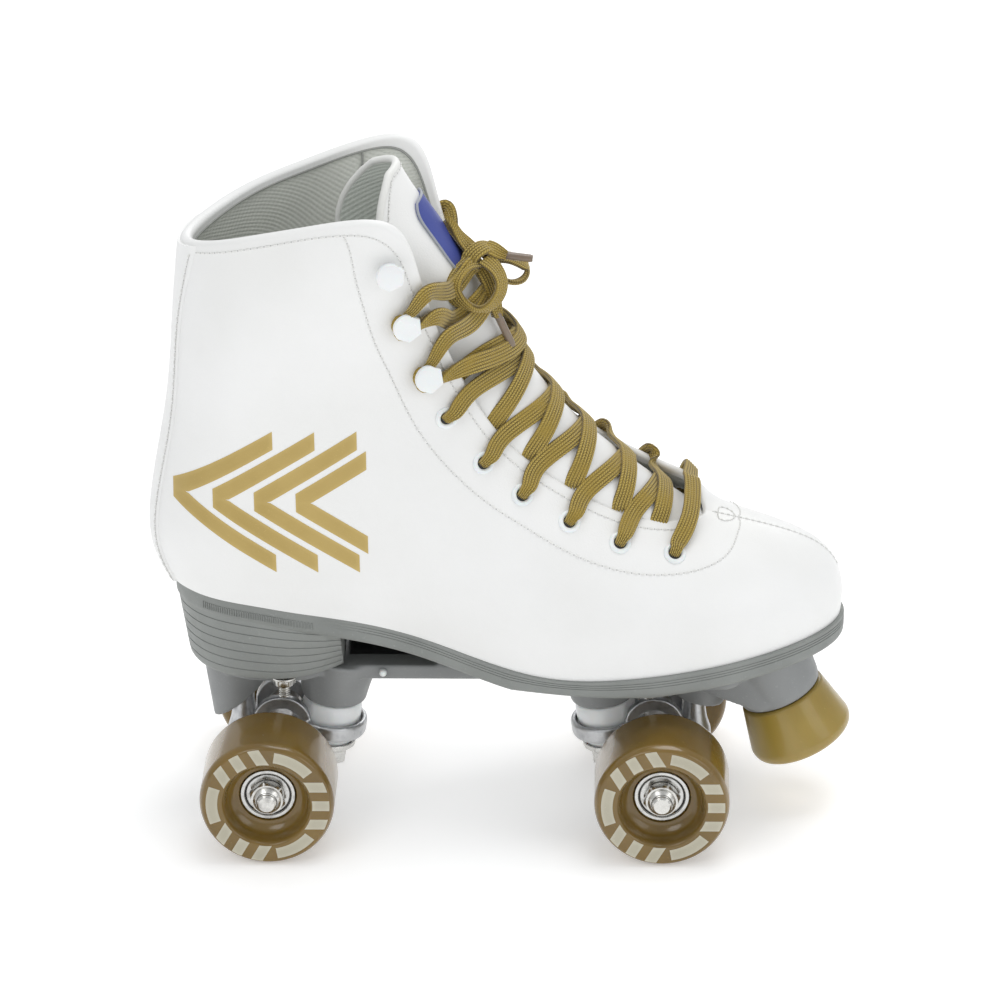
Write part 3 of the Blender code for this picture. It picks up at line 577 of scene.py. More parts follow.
RING = np.linspace(-COLUMNS, COLUMNS, 16 * 2 * COLUMNS, endpoint=False)
FEATHER = boot(RING, 0.0)
RING_WALL = boot(*np.meshgrid(RING, np.linspace(0, 1, 41), indexing="ij"))
COLUMN_LENGTH = np.linalg.norm(np.diff(RING_WALL, axis=1), axis=2).sum(1)


def column_length(columns):
    return np.interp(columns, RING, COLUMN_LENGTH, period=2 * COLUMNS)


def edge_thickness(columns):
    """Thickness of the top edge: padded at the collar, thin along the lacing."""
    return np.interp(np.abs(columns), (0, 6.3, 7.6, COLUMNS), (2.7, 2.9, 4.6, 5.0))


def make_upper():
    """The leather from the sole over the rounded top edge and down inside."""
    depth, lip = 1.5, 2.2
    length, thick = column_length(RING), edge_thickness(RING)
    top = 1 - thick / 2 / length
    rows = [boot(RING, r * top) for r in np.linspace(0, 1, 96) ** 0.93]
    out, up = boot_directions(RING, top)
    half = (thick / 2)[:, None]
    for angle in np.linspace(0, math.pi, 13)[1:]:
        rows.append(boot(RING, top) - out * half + (out * math.cos(angle) + up * math.sin(angle)) * half)
    rows += [off_boot(RING, top - below / length, -thick) for below in np.linspace(0.5, lip, 4)]
    rows += [off_boot(RING, (top - lip / length) * r, 0 * RING - depth) for r in np.linspace(1, 0, 24)]
    add_piece("boot_upper", [grid(rows, across=True, along=True)], WHITE,
              "upper eyelet_stay_left eyelet_stay_right", 70)


def make_lining():
    """The knitted lining, thickest at the padded collar, from the footbed to just under the rim."""
    below_rim, back = 1.9, 1.55
    length, thick = column_length(RING), edge_thickness(RING)
    top = 1 - (thick / 2 + below_rim) / length
    inner_steps = np.linspace(1, 0, 90)
    outer_steps = inner_steps[::6][::-1]
    rows = [off_boot(RING, top * r, 0 * RING - back) for r in outer_steps]
    rows += [off_boot(RING, top * r, -(thick - 0.7 + 0.9 * (1 - r))) for r in inner_steps]
    along = np.concatenate([outer_steps, inner_steps])[:, None] * length
    ring = boot(RING, 0.6)
    here = np.linalg.norm(np.roll(ring, -1, 0) - ring, axis=1).cumsum()
    add_piece("boot_lining", [grid(rows, across=True, along=True)], LINING_LOOK, "lining", 80,
              attributes={"along": along, "round": np.tile(here, len(rows))})


def make_collar_seams():
    """The dark seam where the lining meets the padded rim, and the lining's upright seam."""
    columns = np.concatenate([np.linspace(6.6, COLUMNS, 160), np.linspace(-COLUMNS, -6.6, 160)[1:]])
    thick = edge_thickness(columns)
    rim = off_boot(columns, 1 - (thick / 2 + 2.6) / column_length(columns), -(thick + 0.15))
    rows = np.linspace(0.972, 0.7, 40)
    columns = np.interp(rows, (0.7, 0.8, 0.87, 0.93, 0.975), (6.72, 7.17, 7.68, 8.1, 8.33))
    upright = off_boot(columns, rows, 0 * rows - 4.75)
    seams = [tube(resample(path, spacing), 0.42, 8) for path, spacing in ((rim, 1.0), (upright, 1.5))]
    add_piece("collar_seams", seams, DARK_SEAM, sharp=60)


def make_backstay():
    """The strip up the back of the heel, its edges turned under."""
    half, thickness = 0.62, 1.15
    across = np.linspace(-half, half, 25)
    lift = thickness * np.clip((1 - np.abs(across / half)) / 0.16, 0, 1) ** 0.5 + 0.02
    columns, levels = np.meshgrid(COLUMNS + across, np.linspace(0, 0.985, 90))
    heights = lift * np.clip((1 - levels) / 0.012, 0.1, 1) ** 0.5
    strip = slab_of(off_boot(columns, levels, heights), off_boot(columns, levels, heights * 0 - 0.4))
    add_piece("heel_backstay", [strip], WHITE, "backstay", 60)


# ---- seams
FACING_COLUMNS = np.array((8.25, 7.7, 7.18, 6.7, 6.29, 5.99, 5.64, 5.3, 4.96, 4.65, 4.41, 4.12, 3.8, 3.48,
                           3.17, 2.82, 2.54, 2.27, 1.88, 1.26, 0.0))
FACING_ROWS = (0.965, 0.9, 0.859, 0.827, 0.808, 0.791, 0.772, 0.765, 0.762, 0.756, 0.753, 0.747, 0.734, 0.72,
               0.705, 0.682, 0.668, 0.66, 0.668, 0.7, 0.775)
COLLAR_COLUMNS = np.array((10.35, 10.0, 9.25, 8.75, 8.3, 7.9, 7.6, 7.2, 6.9, 6.5, 6.0, 5.4, 4.8, 4.2, 3.6,
                           3.0, 2.4, 1.8))
COLLAR_ROWS = (0.966, 0.965, 0.966, 0.967, 0.967, 0.968, 0.968, 0.968, 0.966, 0.962, 0.957, 0.952, 0.948,
               0.945, 0.943, 0.94, 0.935, 0.93)
NEEDLE_HOLE = lathe([(0, -0.3), (0.34, -0.1), (0.34, 0.02), (0.2, 0.05), (0, 0.05)], 10, False)
STITCHES, HOLES = [], []


def surface_line(columns, rows, offset=0.05):
    """Points and outward directions of a smooth line on the boot through columns and rows."""
    count = len(columns)
    fine = open_spline(np.stack([columns, rows], 1), np.linspace(0, count - 1, 40 * count)).T
    return np.hstack([off_boot(*fine, offset), boot_directions(*fine)[0]])


def sew(line, pitch=3.0, thread=0.32):
    """Stitches along a line of points and outward directions, with a needle hole at each end, coloured grey
    as painted shade.
    """
    gap, arch, sink = 0.17, 0.26, 0.02
    t = np.linspace(0, 1, 7)[:, None]
    ends = resample(line, pitch)
    for a, b in zip(ends, ends[1:]):
        start, out = a[:3], unit(a[3:])
        path = start + (b[:3] - start) * (gap + (1 - 2 * gap) * t) + out * (np.sin(t * math.pi) * arch - sink)
        STITCHES.append(tube(path, thread * np.array((0.4, 0.8, 1, 1, 1, 0.8, 0.4)), 7))
        HOLES.append(moved(NEEDLE_HOLE, axis_frame(start, out, (0.3, 0.5, 0.8))))


def sew_boot():
    """Seams of the facings, collar and backstay, down the toe, and the tack at the throat's end."""
    for side in (-1, 1):
        sew(surface_line(side * FACING_COLUMNS, FACING_ROWS))
        sew(surface_line(side * COLLAR_COLUMNS, COLLAR_ROWS), 2.8)
        heel = side * (COLUMNS - 0.56) * np.ones(12)
        sew(surface_line(heel, np.linspace(0.01, 0.965, 12), 1.1), 3.2)
    sew(surface_line(np.zeros(8), np.linspace(0.93, 0.33, 8)), 2.6)
    turn = np.linspace(0, math.pi, 9)
    for side in (-1, 1):
        sew(surface_line(side * 0.55 * np.sin(turn) ** 0.7, 0.84 + 0.05 * np.cos(turn)), 2.4)


def make_threads():
    add_piece("seam_threads", STITCHES, THREAD)
    add_piece("needle_holes", HOLES, DARK, weld=True)


# ---- heel stripes
wall, wall_faces = grid(boot(*np.meshgrid(RING, np.linspace(0, 1, 120))), across=True)
BOOT_TREE = BVHTree.FromPolygons(wall.tolist(), wall_faces)
STRIPE_HEIGHT = 7.8
STRIPE_MIDDLE = 148.0
STRIPE_SLOPE = math.tan(math.radians(33))


def side_point(x, z, side, lift):
    """The boot's side surface seen square from the side, lift mm out."""
    hit, normal, _, _ = BOOT_TREE.ray_cast(Vector((x, side * 200, z)), Vector((0, -side, 0)))
    return np.array(hit) + np.array(normal) * lift


def stripe(tip, end, hand, side):
    """One arm of a chevron, above (hand 1) or below (-1) the middle line, with upright ends."""
    x = np.linspace(tip, end, 26)
    centre = STRIPE_SLOPE * (x - tip)
    low, high = np.clip(centre - STRIPE_HEIGHT / 2, 0, None), centre + STRIPE_HEIGHT / 2
    levels = [STRIPE_MIDDLE + hand * (low * (1 - v) + high * v) for v in np.linspace(0, 1, 5)]
    if side * hand > 0:
        levels.reverse()
    sheets = [[[side_point(a, b, side, lift) for a, b in zip(x, z)] for z in levels] for lift in (0.14, -0.3)]
    return slab_of(*sheets)


def make_stripes():
    """Nested chevrons pointing at the heel."""
    bars = []
    for side in (-1, 1):
        for i in range(4):
            tip = -36.0 + 16.5 * i
            bars += [stripe(tip, min(46.0 - 1.5 * i, tip + 41), hand, side) for hand in (-1, 1)]
    add_piece("heel_stripes", bars, PRINT, sharp=60)


# ---- outsole and footbed
HEEL_BREAST = 29.2
HEEL_TOP = 4.0
SOLE_DEPTH = 8.7
GROOVE = 0.25
TICK_CORNERS = ((-0.32, -0.6), (0.32, -0.6), (0.2, 0.45), (-0.2, 0.45))


def sole_ring(inset):
    """The boot's lowest edge, moved inwards."""
    inward = unit(np.cross((0, 0, 1), np.roll(FEATHER, -1, 0) - np.roll(FEATHER, 1, 0)))
    return FEATHER + inward * np.asarray(inset)[..., None]


def heel_edge(x):
    """How far the heel stands inside the boot's lowest edge."""
    return np.interp(x, (-41, -30, 20), (2.6, 1.6, 0.4))


def make_outsole():
    """A grooved band under the whole boot and a heel block with horizontal grooves."""
    x, _, z = FEATHER.T
    overhang = -np.interp(x, (-41, -30, 20, 90, 140, 230), (-2.4, -1.4, -0.2, 0.8, 1.5, 1.6))
    depth = np.minimum(SOLE_DEPTH, z - 0.4 - HEEL_BOTTOM)
    levels = [(0.0, 3.0), (0.0, 0.5), (0.04, 0.05), (0.1, 0.0)]
    for top in (0.17, 0.29, 0.41):
        levels += [(top, 0.0), (top + 0.015, GROOVE), (top + 0.035, GROOVE), (top + 0.05, 0.0)]
    levels += [(0.7, 0.06), (0.84, 0.2), (0.94, 0.7), (1.0, 1.5), (1.0, 6.0)]
    ahead_of_heel = np.clip((x - 20) / 25, 0, 1)
    band = []
    for share, inset in levels:
        row = sole_ring(overhang + inset * (ahead_of_heel if inset == GROOVE else 1))
        row[:, 2] = z + 0.2 - (depth + 0.6) * share
        band.append(row)
    middle = np.stack([x, toe_middle(x), z], 1)
    for row, share in ((band[-1], 0.5), (band[-1], 0.05), (band[0], 0.05), (band[0], 0.5)):
        band.append(middle + (row - middle) * (1, share, 1))
    add_piece("moulded_outsole", [grid(band[::-1], across=True, along=True), heel_block()], SOLE,
              "outsole", 45)
    add_piece("sole_ticks", heel_ticks(), SOLE, sharp=45)


def heel_row(share, inset):
    """The heel's outline at a share of the way down, from the breast round the back to the breast."""
    ring = boot(np.concatenate([np.linspace(6.15, COLUMNS, 70), np.linspace(-COLUMNS, -6.15, 70)[1:]]), 0.0)
    outward = unit(ring[:, :2] * (0.35, 1))
    x, y = (ring[:, :2] - outward * (heel_edge(ring[:, 0]) + inset)[:, None]).T
    y = y * (1 - 0.06 * share)
    y -= np.sign(y) * np.clip((x - 1) / 28, 0, 1) ** 2 * 15 * share
    x = np.minimum(np.where(x < 0, x * (1 - 0.12 * share), x), HEEL_BREAST - 0.2)
    top = ring[:, 2] - HEEL_TOP
    return np.stack([x, y, top + (HEEL_BOTTOM - top) * share], 1)


def heel_block():
    levels = [(0.0, 0.0)]
    for g in np.linspace(0.2, 0.86, 6):
        levels += [(g - 0.008, 0.0), (g - 0.003, 0.3), (g + 0.006, 0.3), (g + 0.011, 0.0)]
    levels += [(0.95, 0.15), (0.985, 0.7), (1.0, 1.8), (1.0, 9.0)]
    return capped([heel_row(*level) for level in levels[::-1]])


def heel_ticks():
    """Small upright ribs in a line below the heel's top edge."""
    ticks = []
    for side in (-1, 1):
        for column in side * np.linspace(6.7, 9.6, 46):
            out = unit(boot_directions(column, 0.0)[0] * (1, 1, 0))
            ahead = np.cross((0, 0, 1), out)
            place = boot(column, 0.0)
            place = place - out * (heel_edge(place[0]) - 0.1)
            ticks.append(capped([[place + ahead * a + out * b + (0, 0, z) for a, b in TICK_CORNERS]
                                 for z in (-6.4, -3.6)]))
    return ticks


def make_footbed():
    """A fabric-covered insole with a raised rim."""
    ring = sole_ring(0 * RING + 6.4)
    middle = toe_middle(ring[:, 0])
    rows = []
    for share, lift in ((1, 6), (1, 9.2), (0.985, 10), (0.95, 9.8), (0.85, 9.3), (0.6, 9), (0.3, 8.9),
                        (0.02, 8.9), (0.02, 6), (0.6, 6)):
        x = 94 + (ring[:, 0] - 94) * (share if share > 0.9 else 1)
        rows.append(np.stack([x, middle + (ring[:, 1] - middle) * share, ring[:, 2] + lift], 1))
    rows = np.array(rows)
    add_piece("insole", [grid(rows, across=True, along=True)], LINING_LOOK, "footbed", 80,
              attributes={"along": rows[..., 0], "round": rows[..., 1]})


# ---- tongue and label
# crown x, y, z, half width, depth of the curl
TONGUE = np.array([
    (183, 5, 118.5, 14, 5), (160, 4, 135.8, 18, 9), (141, 3, 151.5, 19.5, 14), (122, 3, 169, 20.5, 19),
    (104.5, 3, 191, 21, 24), (91, 3, 214, 21.5, 28), (78.5, 3, 237, 22.5, 31), (68.5, 3, 253.5, 23, 33),
    (60.5, 3.5, 265.5, 23, 34), (54.5, 4, 276, 22.5, 34),
])
# how far round the near and far edges reach, in degrees, at distances below the top
BELOW_TOP = (0, 2, 5, 8, 12, 18, 30, 60, 120, 200)
NEAR_REACH = (24, 31, 40, 47, 55, 66, 80, 94, 112, 116)
FAR_REACH = (48, 61, 75, 85, 95, 104, 104, 100, 108, 112)
TONGUE_TOP = len(TONGUE) - 1
TONGUE_ROWS = np.concatenate([np.linspace(0, 8, 96, endpoint=False), np.linspace(8, TONGUE_TOP, 30)])
TONGUE_SHARES = np.linspace(-1, 1, 61)


def tongue(rows, angles, lift):
    """Points in front of the tongue's face; an angle is 0 at the crown and negative to the right."""
    rows, angles, lift = np.broadcast_arrays(*[np.asarray(v, float) for v in (rows, angles, lift)])
    shape, rows, turn, lift = rows.shape, rows.ravel(), np.radians(angles.ravel()), lift.ravel()
    flat = open_spline(TONGUE, rows)
    width, depth = flat[:, 3:].T
    ahead = open_spline(TONGUE, rows + 0.05) - open_spline(TONGUE, rows - 0.05)
    front = unit(np.cross((0, 1, 0), ahead[:, :3]))
    place = flat[:, :3] + front * (np.cos(turn) * (depth + lift) - depth)[:, None]
    place[:, 1] += (width + lift) * np.sin(turn)
    return place.reshape(shape + (3,))


def tongue_out(row, angle):
    """The direction out of the tongue's face."""
    return unit(tongue(row, angle, 1.0) - tongue(row, angle, 0.0))


def tongue_row_before(point):
    """The tongue row in front of a point."""
    rows = np.linspace(0, TONGUE_TOP, 321)
    crown = tongue(rows, 0, 0)
    return rows[np.argmin(np.abs(((crown - point) * np.gradient(crown, axis=0)).sum(1)))]


def tongue_sheet(lift):
    """The tongue's whole face, or a sheet in front of it or behind it."""
    below = np.linalg.norm(tongue(TONGUE_ROWS, 0, 0) - tongue(TONGUE_TOP, 0, 0), axis=-1)[:, None]
    near, far = np.interp(below, BELOW_TOP, NEAR_REACH), np.interp(below, BELOW_TOP, FAR_REACH)
    return tongue(TONGUE_ROWS[:, None], TONGUE_SHARES * np.where(TONGUE_SHARES < 0, near, far), lift)


def rim_of(sheet, corners):
    """Up one side of a sheet, over its top and down the other side, with or without the corners."""
    sides = sheet if corners else sheet[:-1]
    return np.concatenate([sides[:, 0], sheet[-1, 1:-1], sides[::-1, -1]])


def make_tongue():
    padding = 0.54 * np.sin(np.clip((TONGUE_ROWS - 3) / 5, 0, 1) * math.pi)
    face = tongue_sheet(padding[:, None] * (1 - TONGUE_SHARES ** 4))
    add_piece("padded_tongue", [slab_of(face, tongue_sheet(-1.4))], WHITE, "tongue")
    inner = tongue_sheet(-2.6)
    along = np.append(0, np.linalg.norm(np.diff(inner, axis=0), axis=2).mean(1).cumsum())
    turn = np.linspace(0, 70, len(TONGUE_SHARES))
    values = {"along": np.tile(np.repeat(along, len(turn)), 2), "round": np.tile(turn, 2 * len(along))}
    add_piece("tongue_lining", [slab_of(tongue_sheet(-1.5), inner)], TONGUE_LINING, sharp=60,
              attributes=values)
    binding = resample(rim_of(tongue_sheet(-1.2)[40:], True), 1.2)
    add_piece("tongue_binding", [tube(binding, 1.6, 14)], BINDING, sharp=60)
    line, below = [rim_of(tongue_sheet(lift)[30:-4, 4:-4], False) for lift in (0.15, -1.0)]
    sew(np.hstack([line, line - below]), 2.6, 0.26)


def make_label():
    """A plain woven patch with a grey edging, folded over the crown of the tongue."""
    rows = np.linspace(5.7, 7.75, 24)[:, None]
    angles = (27 - 9 * np.abs(np.linspace(-1, 1, 24)) ** 5)[:, None] * np.linspace(-1, 1, 25)
    top = tongue(rows, angles, 1.1)
    patch = slab_of(top, tongue(rows, angles, 0.0))
    add_piece("label_patch", [patch], LABEL_LOOK, "tongue_label")
    edge = np.concatenate([top[:, 0], top[-1, 1:], top[-2::-1, -1], top[0, -2::-1]])
    add_piece("label_edging", [tube(resample(edge, 0.8), 0.55, 10)], LABEL_EDGE, sharp=60)


# ---- eyelets and hooks
EYELETS = ((2.38, 0.79), (3.05, 0.84), (3.67, 0.856), (4.26, 0.86), (4.79, 0.87), (5.36, 0.875))
HOOKS = ((5.78, 0.892), (6.39, 0.911), (7.21, 0.938))


def make_eyelets():
    """Flanged rings with a black disc of painted shade inside each hole."""
    radius, hole = 4.6, 2.5
    ring = [(hole, -2.4), (3.3, -2.4), (3.3, 0.02), (radius, -0.1), (radius - 0.2, 0.5), (3.4, 1.0)]
    ring.append((hole, 0.5))
    disc = oblong((0, -2.0), (hole + 0.3, 0.1))
    shells = []
    for side in (-1, 1):
        for column, row in EYELETS:
            place = axis_frame(boot(side * column, row), *boot_directions(side * column, row))
            shells.append(turned(ring, place, 0.45, 40))
            # black disc of painted shade in the eyelet's hole
            shells.append((*turned(disc, place, steps=24, closed=False), 1))
    add_piece("eyelets", shells, [CUSHION_LOOK, SHADE_BLACK], sharp=60, weld=True)


def hook_axes(number, side):
    """A hook's place on the boot and its directions out, up and forward."""
    column, row = HOOKS[number]
    out, up = boot_directions(side * column, row)
    return boot(side * column, row), out, up, np.cross(out, up) * side


def make_hooks():
    """A folded neck and a head that is round behind and faceted in front, for each hook."""
    turn = full_turn(60)
    facet = 5.3 / np.cos(turn % (math.pi / 3) - math.pi / 6)
    facing = np.clip(np.cos(turn) * 2.2 + 0.9, 0, 1)
    reach = 5.6 * (1 - facing) + np.minimum(facet * 0.98, 6.1) * facing
    head = []
    for share, z in ((0.2, 4.0), (0.94, 4.0), (1, 4.3), (1, 5.5), (0.97, 5.85), (0.86, 6.1), (0.5, 6.18),
                     (0.02, 6.2)):
        head.append(circle(reach * share, turn, z))
    head = capped(head)
    neck = [(3.9, 0.0), (4.1, 0.7), (2.2, 1.2), (2.1, 4.2)]
    for side, word in ((-1, "right"), (1, "left")):
        for number in range(len(HOOKS)):
            middle, out, up, forward = hook_axes(number, side)
            place = axis_frame(middle, out + 0.12 * up, forward)
            shells = [moved(head, place), turned(neck, place, 0.4, 40, closed=False)]
            add_piece(f"{word}_lace_hook_{number + 1}", shells, CUSHION_LOOK,
                      f"{word}_hook_{number + 1}", 38, weld=True)


# ---- lace
LACE_WIDTH = 7.4
LACE_DEPTH = 1.5
LACE_STEP = 0.7
RIBS = 6
RIB_HEIGHT = 0.36
NECK_REACH, NECK_LIFT = 3.3, 2.3


def ribbon(knots):
    """A flat braid through knots (point, face direction, width share), and where its points lie on it."""
    fine = np.array([[*point, *unit(np.array(face)), *(share or [1])] for point, face, *share in knots])
    chord = np.append(0, np.sqrt(np.linalg.norm(np.diff(fine[:, :3], axis=0), axis=1)).cumsum())
    even = np.interp(np.linspace(0, chord[-1], 12 * len(knots)), chord, np.arange(len(knots)))
    fine = open_spline(fine, even)
    length = travelled(fine[:, :3])
    at = np.linspace(0, length[-1], max(8, int(length[-1] / LACE_STEP)))
    fine = at_lengths(fine, length, at)
    place, face, share = fine[:, :3], fine[:, 3:6], fine[:, 6:]
    ahead = unit(np.gradient(place, axis=0))
    out = unit(face - ahead * (face * ahead).sum(1)[:, None])
    across = np.linspace(-1, 1, 6 * RIBS + 1)
    edge = np.sqrt(np.clip(1 - np.abs(across) ** 6, 0, 1)) * 0.85 + 0.15
    half = edge * (LACE_DEPTH / 2 + RIB_HEIGHT * np.abs(np.sin(np.pi * RIBS / 2 * (across + 1))))
    across = np.append(across, across[::-1])
    width = across * share * LACE_WIDTH / 2
    height = np.append(half, -half[::-1]) / np.clip(share, 0.5, 1.2)
    side = np.cross(out, ahead)[:, None]
    rows = place[:, None] + side * width[..., None] + out[:, None] * height[..., None]
    return capped(rows), np.tile(across, len(rows)), np.repeat(at, len(across))


def edge_point(column, lift, inward=0.5):
    """A point over the facing's edge, and its outward direction."""
    out, up = boot_directions(column, 1.0)
    return boot(column, 1.0) + out * lift + up * inward, out


def hole_knots(column, row, towards):
    """Knots that lead a lace from a place beside an eyelet down into it."""
    out, _ = boot_directions(column, row)
    centre = boot(column, row)
    lead = unit(towards - centre - out * ((towards - centre) @ out))
    return [(centre + lead * 5.4 + out * 1.9, out, 0.92), (centre + lead * 2.2 + out * 1.7, out, 0.7),
            (centre + lead * 0.5 + out * 0.2, out * 0.5 - lead, 0.58),
            (centre + lead * 0.3 - out * 3.0, -lead, 0.5)]


def over_tongue(side, places, lift, *share):
    """Knots over the tongue from (row, angle), the angles counted towards a side."""
    return [(tongue(row, side * angle, lift), tongue_out(row, side * angle), *share) for row, angle in places]


def crossing(k, side, lift):
    """A strand from under the opposite facing, over the tongue, over this side's facing, into eyelet k."""
    column, row = EYELETS[k]
    below = EYELETS[k - 1][0]
    over, over_out = edge_point(side * (column - 0.22 * (column - below)), 1.5, 0.6)
    low, high = tongue_row_before(boot(-side * below, 1.0)), tongue_row_before(over)
    knots = [(tongue(low - 0.1, -side * 104, -2.6), tongue_out(low, -side * 90), 0.9)]
    for share, angle, rise in ((0.03, -86, -0.6), (0.16, -64, 0.7), (0.34, -38, lift), (0.56, 0, lift),
                               (0.8, 40, lift)):
        knots += over_tongue(side, [(low + (high - low) * share, angle)], rise)
    knots.append((over, over_out * 0.7 + tongue_out(high, side * 60) * 0.5))
    return knots + hole_knots(side * column, row, over)


def bottom_bar():
    """The first stretch of lace, straight across the end of the throat."""
    column, row = EYELETS[0]
    right, right_out = edge_point(-column + 0.25, 2.2)
    left, left_out = edge_point(column - 0.15, 2.0)
    peak = (right + left) / 2 + (2.0, 1.0, 5.6)
    knots = hole_knots(-column, row, right + (4, 0, 0))[::-1]
    knots += [(right + (5, -1, 1.2), right_out + (0.3, 0, 0.2)),
              (peak + (1.6, -2.5, -0.6), (0.5, -0.45, 0.85)),
              (peak + (0.9, 2.5, -1.2), (0.55, 0.3, 0.8), 0.96),
              (left + (1.0, 2.0, -1.2), left_out + (0.3, 0.3, 0), 0.95)]
    return knots + hole_knots(column, row, left)


def hook_wrap(number, side):
    """Round the back of a hook's neck, from below to above."""
    middle, out, up, forward = hook_axes(number, side)
    knots = []
    for turn in np.radians((-60, -110, -160, 150, 105)):
        away = forward * math.cos(turn) + up * math.sin(turn)
        knots.append((middle + away * NECK_REACH + out * NECK_LIFT, out * 0.15 + away, 0.46))
    return knots


def side_edge(side, column, row, lift=2.2):
    """A flat knot where the lace crosses a facing's edge towards a hook."""
    edge, out = edge_point(side * column, lift)
    return edge, out + tongue_out(row, side * 50) * 0.6, 0.95


def hook_strand(side):
    """From the last eyelets round one side's low hook and the other side's middle hook to the bow."""
    lift = 4.6 if side < 0 else 3.2
    start = tongue_row_before(boot(-side * EYELETS[-1][0], 1.0))
    knots = []
    for row, angle, rise in ((start - 0.1, -104, -2.6), (start, -84, -0.4), (start + 0.06, -46, lift - 1.5)):
        knots += over_tongue(side, [(row, angle)], rise)
    knots += over_tongue(side, ((4.5, 0), (4.6, 44)), lift)
    knots += [side_edge(side, 5.46, 4.62), *hook_wrap(0, side), side_edge(side, 5.76, 5.15, 2.4)]
    knots += over_tongue(side, ((5.26, 48), (5.38, 14), (5.43, -24), (5.44, -56)), lift + 1.2)
    knots += [side_edge(-side, 6.0, 5.45), *hook_wrap(1, -side), side_edge(-side, 6.32, 5.9, 2.6)]
    knots += over_tongue(-side, ((5.86, 46), (5.9, 22)), 4.4)
    return knots + [(BOW + (-1, side * -3, -1), (1, 0, 0.4), 0.8)]


BOW = tongue(5.85, -4, 6.0)
# each knot's place from the bow's middle, its face direction and, where it isn't 1, its width share
BOW_STRANDS = (
    # near loop
    ((0.5, -3, 1.5, -0.25, -0.85, 0.45), (-4.5, -7, 0.6, -0.65, -0.85, 0.65),
     (-8.6, -12, -2.4, -0.65, -0.85, 0.45), (-9.8, -15, -7.2, -0.35, -0.85, 0.05),
     (-6, -16, -12.2, 0.35, -0.65, -0.75, 0.9),
     (0.2, -15, -15, 0.65, -0.45, -0.75, 0.9), (6.2, -13.5, -12.4, 1.15, -0.55, -0.05),
     (9, -11, -6.6, 1.45, -0.65, 0.65), (7, -7.5, -1.4, 1.05, -0.75, 1.15), (2.6, -4, 2, 0.45, -0.85, 0.85)),
    # far loop
    ((2, 1, 0, 0.1, -0.2, 1), (8, 4, -0.5, 0, -0.3, 1), (14, 7, -3, 0.3, -0.3, 1), (18.5, 8, -7.5, 1, 0, 0),
     (15, 4, -11, 0.2, -0.3, -1), (8, 1, -8.5, -0.1, -0.4, -1), (2, -1, -3, -0.4, -0.5, -0.8)),
    # tall loop
    ((-1, 1, 2, 0.9, -0.5, 0.5), (-5, 1.5, 6, 0.9, -0.45, 0.4), (-9, 2.4, 10.5, 0.95, -0.4, 0.4, 0.66),
     (-12.4, 4.4, 14.6, 0.3, -0.6, 1, 0.24), (-10.4, 5.4, 10.6, -0.9, -0.4, -0.2, 0.5),
     (-6.6, 4.8, 6, -0.9, -0.4, -0.2, 0.8), (-2, 3, 2, -0.8, -0.2, -0.2)),
    # the wrap round the knot
    ((-3, -5, -3.5, -0.35, -0.85, 0.25, 0.9), (-3.5, -4.5, 2, -0.35, -0.85, 0.75), (0, -3, 5.5, 0.1, -0.4, 1),
     (4, 1, 5, 0.5, 0.1, 1), (6.5, 3, 1, 1, 0.3, 0.2, 0.9), (3, 0, -3.5, 0.8, -0.2, -0.9, 0.9)),
    # the short end over the knot and the hanging end
    ((4, 4, 0, 0.6, 0.2, 0.9), (2, 0, 5, 0.2, -0.3, 1), (5, -1, 5, 0.3, -0.5, 1),
     (8, -1, 3.2, 0.2, -0.6, 0.8, 0.8), (10.5, -1, 2, 0.1, -0.8, 0.6, 0.5)),
    ((2, -3, -2, 0.25, -0.85, 0.45), (5, -6, -9, 0.85, -0.85, 0.45), (6.5, -7, -17, 0.95, -0.85, 0.45, 0.8),
     (7, -7, -21, 0.85, -0.85, 0.45, 0.5)),
)
AGLET_ENDS = (((9.5, -1, 2.3), (21, -1.5, 1)), ((6.6, -7.2, -19), (13, -9, -33)))


def make_lace():
    strands = [bottom_bar()]
    for k in range(1, len(EYELETS)):
        strands += [crossing(k, -1, 1.3), crossing(k, 1, 3.0)]
    strands += [hook_strand(side) for side in (-1, 1)]
    strands += [[(BOW + knot[:3], knot[3:6], *knot[6:]) for knot in strand] for strand in BOW_STRANDS]
    shells, across, along = zip(*[ribbon(knots) for knots in strands])
    add_piece("braided_lace", shells, LACE_LOOK, "lace", 60,
              attributes={"across": np.concatenate(across), "along": np.concatenate(along)})
    radius = [1.3] + [1.6] * 10 + [1.3]
    ends = [tube(BOW + np.linspace(start, end, 12), radius, 14) for start, end in AGLET_ENDS]
    add_piece("aglets", ends, AGLET_LOOK)


# ---- wheels, axles and trucks
AXLE_RADIUS = 4.0
BEARING_HALF = 3.5
INNER_BEARING = -10.5
AXLE_NUT, KINGPIN_NUT, BOLT_NUT = 13, 16, 8


def across_frame(x, y=0.0, z=WHEEL_RADIUS, hand=1):
    """The place of a part turned about a line across the skate, its z to the left for hand 1."""
    return axis_frame((x, y, z), (0, hand, 0))


def standing_frame(x, y=0.0):
    """The place of a part turned about an upright line."""
    return np.array(Matrix.Translation((x, y, 0)))


def leaning_frame(origin, tilt):
    """The place of a part turned about an upright line that leans forwards by an angle."""
    return axis_frame(origin, (math.sin(tilt), 0, math.cos(tilt)), (0, 1, 0))


def kingpin_frame(axle_x, hand):
    return leaning_frame((axle_x + hand * KINGPIN_X, 0, KINGPIN_Z), hand * KINGPIN_TILT)


